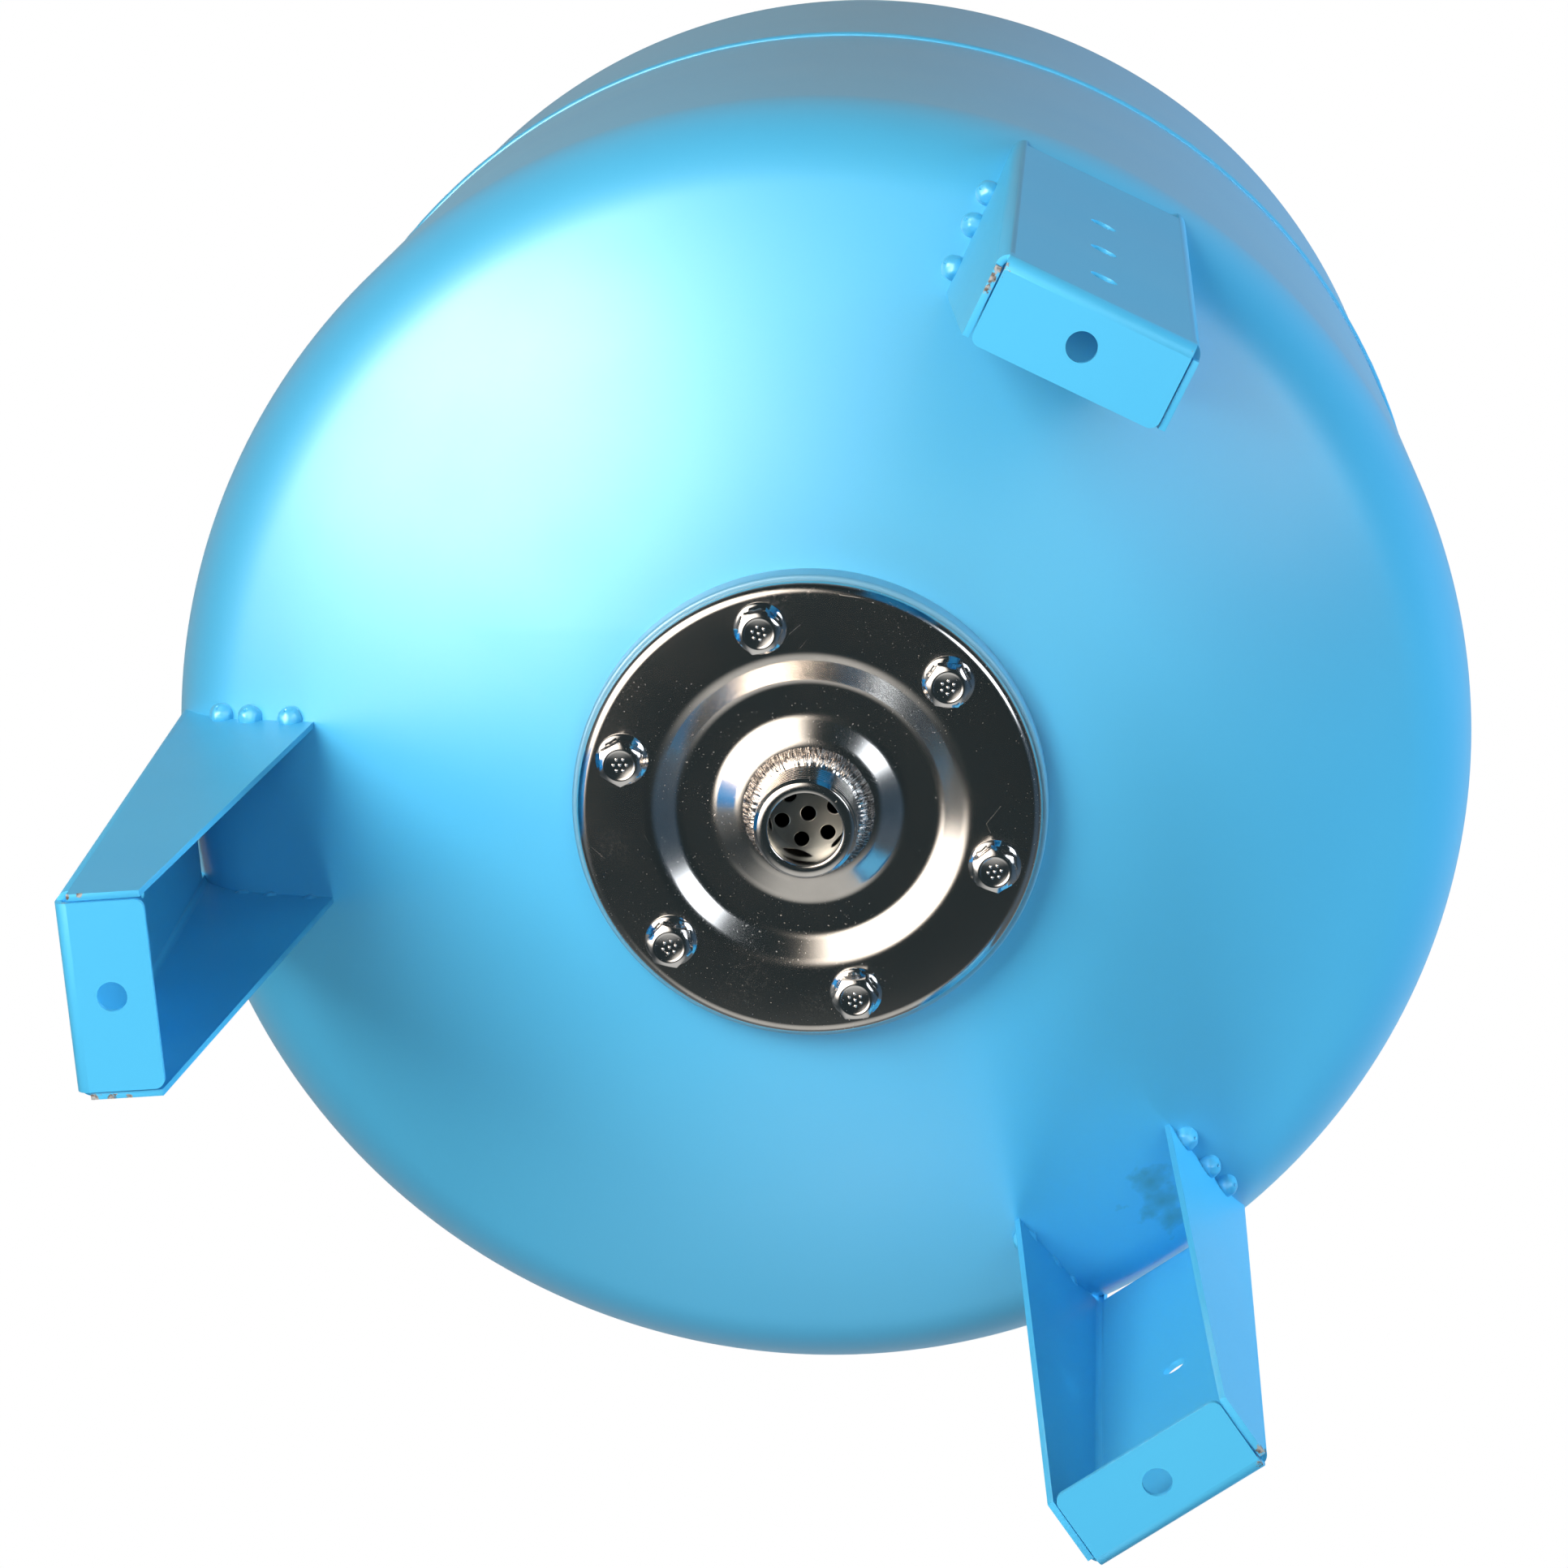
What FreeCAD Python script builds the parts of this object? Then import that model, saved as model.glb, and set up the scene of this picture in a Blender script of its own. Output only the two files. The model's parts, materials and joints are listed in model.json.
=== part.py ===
"""Upright bladder pressure tank on three folded legs.

Millimetres, +Z up. The origin is on the tank's axis, on the floor under its feet.
Heights are given from the floor. The water connection faces down between the legs,
and the air valve is on top. Leg A points along -Y.
"""
import FreeCAD, Part
import math
import os

V = FreeCAD.Vector
AXIS = V(0, 0, 1)
ORIGIN = V(0, 0, 0)
OVERCUT = 1.0               # how far a cutting shape passes the face it cuts
SAME = 1e-4                 # two lengths nearer than this are the same
WELD_SWELL = 0.08           # a weld's face stands this share of its legs beyond a flat one
HEX_CHAMFER_DEG = 30.0      # chamfer of a hexagon's corners, from its end face

# Tank shell
TANK_R = 220.0              # outside radius of the drawn shells
WALL = 1.5                  # sheet thickness of the shells
CROWN_R = 440.0             # outside radius of the dished end's crown
KNUCKLE_R = 44.0            # outside radius of the knuckle between crown and side
SIDE_LENGTH = 376.0         # straight side between the two dished ends
SEAM_UP = 218.0             # girth seam above the lower end of the straight side
LIP_LENGTH = 12.0           # joggled lip of the upper shell inside the lower one
LIP_GAP = 0.15              # running gap round the lip
JOGGLE_LENGTH = 5.0         # height over which the sheet steps inwards to the lip
BEAD_WIDTH = 5.0            # girth weld, along the axis
BEAD_HEIGHT = 1.5           # girth weld, outwards

# Water connection
FLANGE_FACE_Z = 160.0       # bolted face above the floor
PLATE_R = 75.3              # counter-flange outside radius
PLATE_T = 2.5               # its sheet
PLATE_RIM = 4.6             # depth of its turned edge
PLATE_EDGE_R = 3.6          # outside radius of the turned edge and of the pressed corners
FACE_WIDTH = 24.0           # flat bolted face, inwards from the edge
RECESS = 4.4                # depth of the pressed recess
RECESS_SLOPE = 8.8          # width of the slope down to the recess
HUB_LAND = 5.88             # flat top of the pressed hub, outwards from the nipple
HUB_SLOPE = 8.4             # width of the slope up to the hub
HUB_DROP = 0.6              # hub top below the bolted face
NECK_PROUD = 1.7            # neck ring beyond the counter-flange
NECK_LEDGE = 5.4            # width of the ledge that lies on the shell
NECK_BORE_OUT = 1.3         # ring's bore outside the pressed recess
NECK_HOLE_GAP = 0.3         # between the ring's spigot and the shell
NECK_DEPTH = 22.0           # ring thickness at its spigot
NECK_STAND = 10.0           # ring's outside edge above the shell
NECK_EDGE_R = 1.2           # rounding of the ring's outside edge
NECK_WELD_LEG = 4.0         # inside fillet weld
NIPPLE_R = 16.62            # outside of the thread
NIPPLE_WALL = 4.72          # wall of the nipple
NIPPLE_OUT = 22.0           # nipple beyond the bolted face
NIPPLE_IN = 7.0             # nipple behind the bolted face
NIPPLE_CHAMFER = 1.3        # chamfer at the thread's end
NIPPLE_LIP = 0.5            # broken inner edge at the mouth
NIPPLE_RUNOUT = 0.5         # between the thread's end and the weld
NIPPLE_NECK_IN = 0.6        # pipe behind the thread thinner than it, all round
NIPPLE_GAP = 0.08           # between the nipple and the plate's hole
WELD_RISE = 5.0             # nipple weld, up the pipe
WELD_REACH = 5.28           # nipple weld, outwards on the hub
DISC_T = 1.5                # strainer disc thickness
DISC_GAP = 0.05             # round the disc in its seat
DISC_DEPTH = 20.5           # disc face behind the nipple's mouth
DISC_HOLE_R = 2.5           # strainer holes
DISC_RING_IN = 3.1          # circle of the outer strainer holes, inwards from the bore
DISC_RING_COUNT = 6         # strainer holes on that circle
DISC_RING_START = 18.8      # degrees from +X to the first of them
DISC_LEDGE = 1.2            # the disc's seat wider than the bore, all round

# Flange bolts
BOLT_COUNT = 6
BOLT_EDGE = 12.9            # bolt axes, inwards from the counter-flange's edge
BOLT_START = 50.3           # degrees from +X to the first bolt
BOLT_TURN = 17.0            # degrees that each head is turned further than the last
BOLT_R = 4.0                # shank
BOLT_LENGTH = 16.0          # under the head
BOLT_TIP = 0.8              # chamfer at the shank's end
BOLT_SEAT_R = 8.5           # the head's built-in washer
BOLT_SEAT_EDGE = 0.5        # its thickness at the rim
BOLT_SEAT_T = 2.2           # its thickness at the hexagon
BOLT_AF = 13.0              # hexagon across flats
BOLT_HEAD_H = 8.4           # whole head with its washer
BOLT_CROWN_R = 5.4          # flat top of the hexagon inside its chamfer
BOLT_HOLE_GAP = 0.5         # clearance hole in the plate
BOLT_TAP_GAP = 0.05         # tapped hole round the shank
TAP_EXTRA = 2.5             # tapped hole beyond the bolt's end

# Bladder
BAG_T = 2.4                 # rubber wall
BAG_LIP_GAP = 1.0           # between its clamped collar and the bolts
BAG_NECK_GAP = 0.2          # between its neck and the neck ring
BAG_SIDE_GAP = 70.0         # air space round the bag
BAG_TOP_GAP = 70.0          # air space above the bag
BAG_NECK_RISE = 5.4         # straight neck above the neck ring
BAG_FLARE_R = 22.0          # rounding where the neck opens into the bag
BAG_FLOOR_FLAT = 5.6        # flat floor between that rounding and the shoulder's

# Legs
LEG_COUNT = 3
LEG_START = 270.0           # degrees from +X to leg A
LEG_WEB_IN = 10.5           # web's outside face at the floor, inwards from the tank's side
LEG_LEAN_DEG = 1.5          # lean of the channel, its top outwards
LEG_SHEET = 2.0
LEG_HALF_WIDTH = 31.3       # outside face of a side flange
LEG_BEND_R = 4.0            # outside radius of the folds
LEG_SLIT = 0.5              # between the foot plate and the side flanges
LEG_FOOT_REACH = 26.5       # foot plate, inwards from the web's face
LEG_FLANGE_FOOT = 25.5      # side flange width at the foot
LEG_FLANGE_TOP = 45.0       # side flange width at the tank
LEG_FLANGE_LIFT = 1.0       # side flanges end above the floor
LEG_WEB_LIFT = 5.0          # the folds between web and flanges end above the floor
LEG_WEB_SHORT = 2.0         # web ends below the tank
FOOT_TAB = 4.0              # foot plate's tab above its fold, where it runs into the web
FOOT_CORNER_R = 3.0         # foot plate's two free corners
FOOT_HOLE_R = 4.5
FOOT_HOLE_IN = 14.1         # foot hole, inwards from the web's face
WEB_HOLE_R = 4.25
WEB_HOLE_FIRST = 39.0       # leg A's lowest web hole above the floor
WEB_HOLE_PITCH = 48.8
WEB_HOLE_COUNT = 3          # web holes of leg A
LONE_HOLE_UP = 123.5        # the one web hole of each other leg above the floor
TACK_R = 4.4                # radius of a tack weld
TACK_OUT = 1.32             # its centre outside the flange's face, and below the tank's face
TACK_NEAR = 12.0            # tacks, inwards from the web's face
TACK_MIDDLE = 22.5
TACK_FAR = 37.0

# Air valve on top
BOSS_R = 15.0
BOSS_RISE = 12.0            # boss above the shell
BOSS_LEDGE = 4.0            # width of the ledge that lies on the shell
BOSS_HOLE_GAP = 0.2         # between the boss's spigot and the shell
BOSS_IN = 6.0               # boss below the shell's top
BOSS_CHAMFER = 1.0
BOSS_WELD_LEG = 4.0
BODY_SHANK_R = 6.58         # threaded shank of the valve body
BODY_TAP_GAP = 0.05
BODY_SHANK_L = 14.0
BODY_AF = 17.0              # hexagon across flats
BODY_HEX_H = 7.0
BODY_CROWN_R = 8.1          # flat top of the hexagon inside its chamfer
STEM_R = 3.85               # threaded stem of the valve body
STEM_L = 15.0
STEM_CHAMFER = 0.7
STEM_BORE_R = 2.62          # bore for the core
STEM_SEAT_R = 2.0           # narrower bore below the core's gasket
STEM_SEAT_DOWN = 9.0        # shoulder below the stem's mouth
O_RING_R = 0.95             # section radius
O_RING_GROOVE = 1.95        # groove depth in the boss
O_RING_ROOM = 0.1           # groove wider than the ring, each side
CORE_GAP = 0.06             # round the core's head and in its gasket
CORE_DOWN = 1.2             # core barrel below the stem's mouth
CORE_HEAD_L = 4.0           # wide threaded head of the barrel
CORE_R = 1.62               # outside radius of the narrow barrel
CORE_BORE_R = 1.3           # room for the spring
CORE_L = 15.0               # whole barrel
CORE_FLOOR = 0.8            # floor of the barrel that the spring stands on
CORE_CEILING_UP = 1.4       # spring room's ceiling above the head's shoulder
GASKET_T = 2.4
PIN_R = 0.55
PIN_TIP = 0.3               # taper at the pin's two ends
PIN_GUIDE_GAP = 0.1         # round the pin in the barrel's ends
PIN_PROUD = 1.0             # pin above the barrel
PIN_COLLAR_R = 1.05
PIN_COLLAR_T = 0.6
PIN_COLLAR_GAP = 0.1        # collar below the spring room's ceiling
PIN_FOOT_L = 2.2            # pin below the core seal
PIN_PLATE_R = 1.42          # washer that carries the core seal
PIN_PLATE_T = 0.5
SEAL_R = 1.62
SEAL_T = 1.1
SEAL_BORE_GAP = 0.03        # round the pin in the seal
SEAL_SEAT_GAP = 0.02        # seal below the barrel
SPRING_R = 0.85             # mean radius of the spring
SPRING_WIRE_R = 0.13
SPRING_TURNS = 6
SPRING_GAP = 0.02           # at the spring's two ends
CAP_R = 5.6
CAP_TOP_T = 2.0
CAP_CROWN = 1.2             # chamfer round the cap's top
CAP_GAP = 0.25              # cap round the stem
CAP_GRIP_COUNT = 12
CAP_GRIP_R = 0.55
CAP_GRIP_OUT = 0.15         # axes of the grip grooves, outwards from the cap's side
CAP_GRIP_END = 1.5          # grooves end below the top's chamfer
CAP_UP = 1.0                # cap's open end above the hexagon
CAP_SEAL_T = 1.2
CAP_SEAL_GAP = 0.3          # cap seal above the stem's mouth
CAP_SEAL_SIDE_GAP = 0.05    # cap seal inside the cap's bore
CAP_SEAL_BORE_IN = 0.4      # its hole, inwards from the stem's bore

# Radii that follow from the sizes above
NECK_R = PLATE_R + NECK_PROUD
NECK_SPIGOT_R = NECK_R - NECK_LEDGE
BOLT_CIRCLE_R = PLATE_R - BOLT_EDGE
RECESS_OUTER_R = PLATE_R - FACE_WIDTH
RECESS_FLOOR_R = RECESS_OUTER_R - RECESS_SLOPE
NECK_BORE_R = RECESS_OUTER_R + NECK_BORE_OUT
HUB_TOP_R = NIPPLE_R + HUB_LAND
HUB_FOOT_R = HUB_TOP_R + HUB_SLOPE
NIPPLE_NECK_R = NIPPLE_R - NIPPLE_NECK_IN
NIPPLE_BORE_R = NIPPLE_R - NIPPLE_WALL
DISC_SEAT_R = NIPPLE_BORE_R + DISC_LEDGE
BAG_R = TANK_R - BAG_SIDE_GAP
BAG_NECK_R = NECK_BORE_R - BAG_NECK_GAP
BAG_SHOULDER_R = BAG_R - BAG_NECK_R - BAG_FLARE_R - BAG_FLOOR_FLAT
BAG_LIP_R = BOLT_CIRCLE_R - BOLT_R - BAG_LIP_GAP
LEG_WEB_R = TANK_R - LEG_WEB_IN
BOSS_SPIGOT_R = BOSS_R - BOSS_LEDGE

# Heights that follow from the sizes above
HUB_Z = FLANGE_FACE_Z + HUB_DROP
NIPPLE_MOUTH_Z = FLANGE_FACE_Z - NIPPLE_OUT
DISC_LOW_Z = NIPPLE_MOUTH_Z + DISC_DEPTH
NECK_FACE_Z = FLANGE_FACE_Z + PLATE_T + BAG_T
CROWN_SAG_AT_NECK = CROWN_R - math.sqrt(CROWN_R ** 2 - NECK_R ** 2)
APEX_LOW_Z = NECK_FACE_Z + NECK_STAND - CROWN_SAG_AT_NECK
HEAD_DEPTH = CROWN_R - math.sqrt((CROWN_R - KNUCKLE_R) ** 2 - (TANK_R - KNUCKLE_R) ** 2)
SIDE_LOW_Z = APEX_LOW_Z + HEAD_DEPTH
SIDE_HIGH_Z = SIDE_LOW_Z + SIDE_LENGTH
APEX_HIGH_Z = SIDE_HIGH_Z + HEAD_DEPTH
SEAM_Z = SIDE_LOW_Z + SEAM_UP
HEX_LOW_Z = APEX_HIGH_Z + BOSS_RISE
HEX_HIGH_Z = HEX_LOW_Z + BODY_HEX_H
STEM_TOP_Z = HEX_HIGH_Z + STEM_L
CORE_TOP_Z = STEM_TOP_Z - CORE_DOWN
CORE_LOW_Z = CORE_TOP_Z - CORE_L
SPRING_FLOOR_Z = CORE_LOW_Z + CORE_FLOOR
SPRING_CEILING_Z = CORE_TOP_Z - CORE_HEAD_L + CORE_CEILING_UP
COLLAR_HIGH_Z = SPRING_CEILING_Z - PIN_COLLAR_GAP
COLLAR_LOW_Z = COLLAR_HIGH_Z - PIN_COLLAR_T


def polar(radius, degrees, z=0.0):
    """Point at a radius and angle round the tank's axis."""
    a = math.radians(degrees)
    return V(radius * math.cos(a), radius * math.sin(a), z)


def rz(r, z):
    """Point of a section, in the half plane of +X."""
    return V(r, 0, z)


def line(a, b):
    return Part.LineSegment(a, b).toShape()


def arc(a, m, b):
    return Part.Arc(a, m, b).toShape()


def arc_round(centre, radius, start, end):
    """Arc of a section about a centre, from one angle to another in degrees."""
    def at(t):
        return centre + V(radius * math.cos(math.radians(t)), 0, radius * math.sin(math.radians(t)))
    return arc(at(start), at((start + end) / 2), at(end))


def turned(edges):
    """Solid turned about the tank's axis from a closed section."""
    face = Part.Face(Part.Wire(Part.__sortEdges__(edges)))
    solid = face.revolve(ORIGIN, AXIS, 360)
    return Part.makeSolid(solid) if solid.ShapeType == "Shell" else solid


def turned_points(points):
    """Solid turned from a closed section of straight edges."""
    closed = points + points[:1]
    return turned([line(rz(*a), rz(*b)) for a, b in zip(closed, closed[1:])])


def rounded_wire(points, radii):
    """Edges of an open outline in the section plane, with a tangent arc at each inner point."""
    edges = []
    here = rz(*points[0])
    for k, radius in enumerate(radii, start=1):
        corner = rz(*points[k])
        back = (rz(*points[k - 1]) - corner).normalize()
        ahead = (rz(*points[k + 1]) - corner).normalize()
        half = back.getAngle(ahead) / 2
        reach = radius / math.tan(half)
        start = corner + back * reach
        end = corner + ahead * reach
        bisector = (back + ahead).normalize()
        middle = corner + bisector * (radius / math.sin(half) - radius)
        edges += [line(here, start), arc(start, middle, end)]
        here = end
    return edges + [line(here, rz(*points[-1]))]


def cylinder(radius, low, high, centre=ORIGIN):
    return Part.makeCylinder(radius, high - low, V(centre.x, centre.y, low))


def tube(outer, inner, low, high):
    return cylinder(outer, low, high).cut(cylinder(inner, low - OVERCUT, high + OVERCUT))


def chamfered_hexagon(across_flats, low, high, crown_r, end_up):
    """Hexagonal head with a flat towards +X, its corners chamfered towards one end."""
    corner = across_flats / math.sqrt(3)
    outline = Part.makePolygon([polar(corner, 30 + 60 * k, low) for k in range(7)])
    height = high - low
    wide = crown_r + height / math.tan(math.radians(HEX_CHAMFER_DEG))
    low_r, high_r = (wide, crown_r) if end_up else (crown_r, wide)
    cone = Part.makeCone(low_r, high_r, height, V(0, 0, low))
    return Part.Face(outline).extrude(V(0, 0, height)).common(cone)


def is_circle(edge, radius, z):
    """True for a full circle of that radius about the tank's axis at that height."""
    curve = edge.Curve
    if not isinstance(curve, Part.Circle):
        return False
    return abs(curve.Radius - radius) < SAME and curve.Center.distanceToPoint(V(0, 0, z)) < SAME


def head_edges(inset, apex_z, upwards):
    """Crown and knuckle arcs of a dished end, inset from its outside, from the axis to the side."""
    crown = CROWN_R - inset
    knuckle = KNUCKLE_R - inset
    sign = 1 if upwards else -1
    side_z = apex_z - sign * HEAD_DEPTH
    lean = math.degrees(math.asin((TANK_R - KNUCKLE_R) / (CROWN_R - KNUCKLE_R)))
    crown_arc = arc_round(rz(0, apex_z - sign * CROWN_R), crown, sign * 90, sign * (90 - lean))
    knuckle_arc = arc_round(rz(TANK_R - KNUCKLE_R, side_z), knuckle, sign * (90 - lean), 0)
    return [crown_arc, knuckle_arc], side_z


def head_solid(inset, apex_z, upwards, side_end_z):
    """Full dished end with a length of straight side, inset from the outside."""
    edges, side_z = head_edges(inset, apex_z, upwards)
    top = rz(0, apex_z - inset if upwards else apex_z + inset)
    side = rz(TANK_R - inset, side_z)
    end = rz(TANK_R - inset, side_end_z)
    middle = rz(0, side_end_z)
    return turned(edges + [line(side, end), line(end, middle), line(middle, top)])


def shell_height(radius):
    """Height of the lower end's outside at a radius, on its crown or its knuckle."""
    junction = (TANK_R - KNUCKLE_R) * CROWN_R / (CROWN_R - KNUCKLE_R)
    if radius <= junction:
        return APEX_LOW_Z + CROWN_R - math.sqrt(CROWN_R ** 2 - radius ** 2)
    reach = radius - (TANK_R - KNUCKLE_R)
    return SIDE_LOW_Z - math.sqrt(KNUCKLE_R ** 2 - reach ** 2)


def crown_point(radius, inset, apex_z, upwards):
    """Point of a dished end's crown at a radius, inset from the outside."""
    drop = CROWN_R - math.sqrt((CROWN_R - inset) ** 2 - radius ** 2)
    return rz(radius, apex_z - drop if upwards else apex_z + drop)


def fillet_weld(radius, leg, inset, apex_z, upwards):
    """Rounded weld on a crown's face, round a cylinder that stands on it; it rises along +Z."""
    root = crown_point(radius, inset, apex_z, upwards)
    bed = crown_point(radius + leg / 2, inset, apex_z, upwards)
    toe = crown_point(radius + leg, inset, apex_z, upwards)
    top = root + V(0, 0, leg)
    swell = (top + toe) * 0.5 + V(leg, 0, leg) * WELD_SWELL
    return turned([line(root, top), arc(top, swell, toe), arc(toe, bed, root)])


def lower_shell():
    """Drawn shell with the neck hole, from the mouth up to the girth seam."""
    outer = head_solid(0, APEX_LOW_Z, False, SEAM_Z)
    inner = head_solid(WALL, APEX_LOW_Z, False, SEAM_Z)
    hole = cylinder(NECK_SPIGOT_R + NECK_HOLE_GAP, APEX_LOW_Z - OVERCUT, SIDE_LOW_Z)
    return outer.cut(inner).cut(hole)


def upper_shell():
    """Drawn shell with the valve hole; its joggled lip goes inside the lower shell."""
    outer = head_solid(0, APEX_HIGH_Z, True, SEAM_Z)
    inner = head_solid(WALL, APEX_HIGH_Z, True, SEAM_Z)
    hole = cylinder(BOSS_SPIGOT_R + BOSS_HOLE_GAP, SIDE_HIGH_Z, APEX_HIGH_Z + OVERCUT)
    lip_r = TANK_R - WALL - LIP_GAP
    lip_low = SEAM_Z - LIP_LENGTH
    joggle_high = SEAM_Z + JOGGLE_LENGTH
    lip = turned_points([(lip_r, lip_low), (lip_r, SEAM_Z), (TANK_R, SEAM_Z), (TANK_R, joggle_high),
                         (TANK_R - WALL, joggle_high), (lip_r - WALL, SEAM_Z + WALL),
                         (lip_r - WALL, lip_low)])
    return outer.cut(inner).cut(hole).fuse(lip).removeSplitter()


def girth_weld():
    """Raised bead round the seam."""
    low = rz(TANK_R, SEAM_Z - BEAD_WIDTH / 2)
    crest = rz(TANK_R + BEAD_HEIGHT, SEAM_Z)
    high = rz(TANK_R, SEAM_Z + BEAD_WIDTH / 2)
    return turned([arc(low, crest, high), line(high, low)])


def bolt_places():
    return [polar(BOLT_CIRCLE_R, BOLT_START + 360.0 / BOLT_COUNT * k) for k in range(BOLT_COUNT)]


def neck_ring():
    """Ring round the mouth: it lies on the shell outside, and its spigot fills the shell's hole."""
    high = NECK_FACE_Z + NECK_DEPTH
    outside = tube(NECK_R, NECK_BORE_R, NECK_FACE_Z, high).cut(head_solid(0, APEX_LOW_Z, False, SEAM_Z))
    ring = outside.fuse(tube(NECK_SPIGOT_R, NECK_BORE_R, NECK_FACE_Z, high)).removeSplitter()
    rim = [e for e in ring.Edges if is_circle(e, NECK_R, NECK_FACE_Z)]
    tap_high = FLANGE_FACE_Z + BOLT_LENGTH + TAP_EXTRA
    taps = [cylinder(BOLT_R + BOLT_TAP_GAP, NECK_FACE_Z - OVERCUT, tap_high, p) for p in bolt_places()]
    return ring.makeFillet(NECK_EDGE_R, rim).cut(Part.makeCompound(taps))


def neck_weld():
    """Fillet weld between the ring's spigot and the shell, inside the tank."""
    return fillet_weld(NECK_SPIGOT_R, NECK_WELD_LEG, WALL, APEX_LOW_Z, False)


def pressed_plate():
    """Pressed sheet of one thickness, with a recess, a hub and a turned edge, before it is drilled."""
    hole_r = NIPPLE_NECK_R + NIPPLE_GAP
    face = FLANGE_FACE_Z
    hub = HUB_Z
    floor = FLANGE_FACE_Z + RECESS
    rim = FLANGE_FACE_Z + PLATE_RIM
    t = PLATE_T
    hub_shift = t * math.tan(math.atan2(floor - hub, HUB_SLOPE) / 2)
    recess_shift = t * math.tan(math.atan2(RECESS, RECESS_SLOPE) / 2)
    outer = [(hole_r, hub), (HUB_TOP_R, hub), (HUB_FOOT_R, floor), (RECESS_FLOOR_R, floor),
             (RECESS_OUTER_R, face), (PLATE_R, face), (PLATE_R, rim)]
    inner = [(hole_r, hub + t), (HUB_TOP_R + hub_shift, hub + t), (HUB_FOOT_R + hub_shift, floor + t),
             (RECESS_FLOOR_R - recess_shift, floor + t), (RECESS_OUTER_R - recess_shift, face + t),
             (PLATE_R - t, face + t), (PLATE_R - t, rim)]
    big = PLATE_EDGE_R
    small = PLATE_EDGE_R - t
    outer_edges = rounded_wire(outer, [big, small, small, big, big])
    inner_edges = rounded_wire(inner, [small, big, big, small, small])
    ends = [line(rz(*outer[0]), rz(*inner[0])), line(rz(*outer[-1]), rz(*inner[-1]))]
    return turned(outer_edges + inner_edges + ends)


def flange_plate():
    """Pressed counter-flange with its bolt holes."""
    low = FLANGE_FACE_Z - OVERCUT
    high = FLANGE_FACE_Z + PLATE_T + OVERCUT
    holes = [cylinder(BOLT_R + BOLT_HOLE_GAP, low, high, p) for p in bolt_places()]
    return pressed_plate().cut(Part.makeCompound(holes))


def inlet_nipple():
    """Pipe of the water connection, its bore widened from inside as a seat for the strainer disc."""
    mouth = NIPPLE_MOUTH_Z
    high = FLANGE_FACE_Z + NIPPLE_IN
    thread_end = HUB_Z - WELD_RISE - NIPPLE_RUNOUT
    return turned_points([(NIPPLE_BORE_R, mouth + NIPPLE_LIP), (NIPPLE_BORE_R + NIPPLE_LIP, mouth),
                          (NIPPLE_R - NIPPLE_CHAMFER, mouth), (NIPPLE_R, mouth + NIPPLE_CHAMFER),
                          (NIPPLE_R, thread_end), (NIPPLE_NECK_R, thread_end), (NIPPLE_NECK_R, high),
                          (DISC_SEAT_R, high), (DISC_SEAT_R, DISC_LOW_Z), (NIPPLE_BORE_R, DISC_LOW_Z)])


def nipple_weld():
    """Rounded weld between the nipple and the hub of the plate."""
    corner = rz(NIPPLE_NECK_R, HUB_Z)
    toe = corner + V(WELD_REACH, 0, 0)
    top = corner - V(0, 0, WELD_RISE)
    swell = (top + toe) * 0.5 + V(WELD_REACH, 0, -WELD_RISE) * WELD_SWELL
    return turned([arc(toe, swell, top), line(top, corner), line(corner, toe)])


def strainer_disc():
    """Disc with a middle hole and a circle of holes, on its seat in the nipple."""
    high = DISC_LOW_Z + DISC_T
    ring_r = NIPPLE_BORE_R - DISC_RING_IN
    places = [ORIGIN]
    for k in range(DISC_RING_COUNT):
        places.append(polar(ring_r, DISC_RING_START + 360.0 / DISC_RING_COUNT * k))
    holes = [cylinder(DISC_HOLE_R, DISC_LOW_Z - OVERCUT, high + OVERCUT, p) for p in places]
    return cylinder(DISC_SEAT_R - DISC_GAP, DISC_LOW_Z, high).cut(Part.makeCompound(holes))


def flange_bolt():
    """Flanged hexagon bolt with its head down and its seat at z = 0."""
    seat = turned_points([(0, 0), (BOLT_SEAT_R, 0), (BOLT_SEAT_R, -BOLT_SEAT_EDGE),
                          (BOLT_AF / 2, -BOLT_SEAT_T), (0, -BOLT_SEAT_T)])
    head = chamfered_hexagon(BOLT_AF, -BOLT_HEAD_H, -BOLT_SEAT_EDGE, BOLT_CROWN_R, False)
    tip_low = BOLT_LENGTH - BOLT_TIP
    shank = turned_points([(0, 0), (BOLT_R, 0), (BOLT_R, tip_low), (BOLT_R - BOLT_TIP, BOLT_LENGTH),
                           (0, BOLT_LENGTH)])
    return seat.fuse([head, shank]).removeSplitter()


def flange_bolts():
    bolt = flange_bolt()
    group = []
    for k, place in enumerate(bolt_places()):
        copy = bolt.copy()
        copy.rotate(ORIGIN, AXIS, BOLT_TURN * k)
        copy.translate(place + V(0, 0, FLANGE_FACE_Z))
        group.append(copy)
    return Part.makeCompound(group)


def bag_solid(inset):
    """Filled bag shape, inset from the outside, standing on its neck."""
    base = NECK_FACE_Z
    neck = BAG_NECK_R - inset
    side = BAG_R - inset
    low = NECK_FACE_Z + NECK_DEPTH + BAG_NECK_RISE + BAG_FLARE_R + inset
    high = APEX_HIGH_Z - BAG_TOP_GAP - inset
    shoulder = BAG_SHOULDER_R - inset
    outline = [(neck, base), (neck, low), (side, low), (side, high), (0, high)]
    edges = rounded_wire(outline, [BAG_FLARE_R + inset, shoulder, shoulder])
    return turned(edges + [line(rz(0, high), rz(0, base)), line(rz(0, base), rz(neck, base))])


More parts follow.
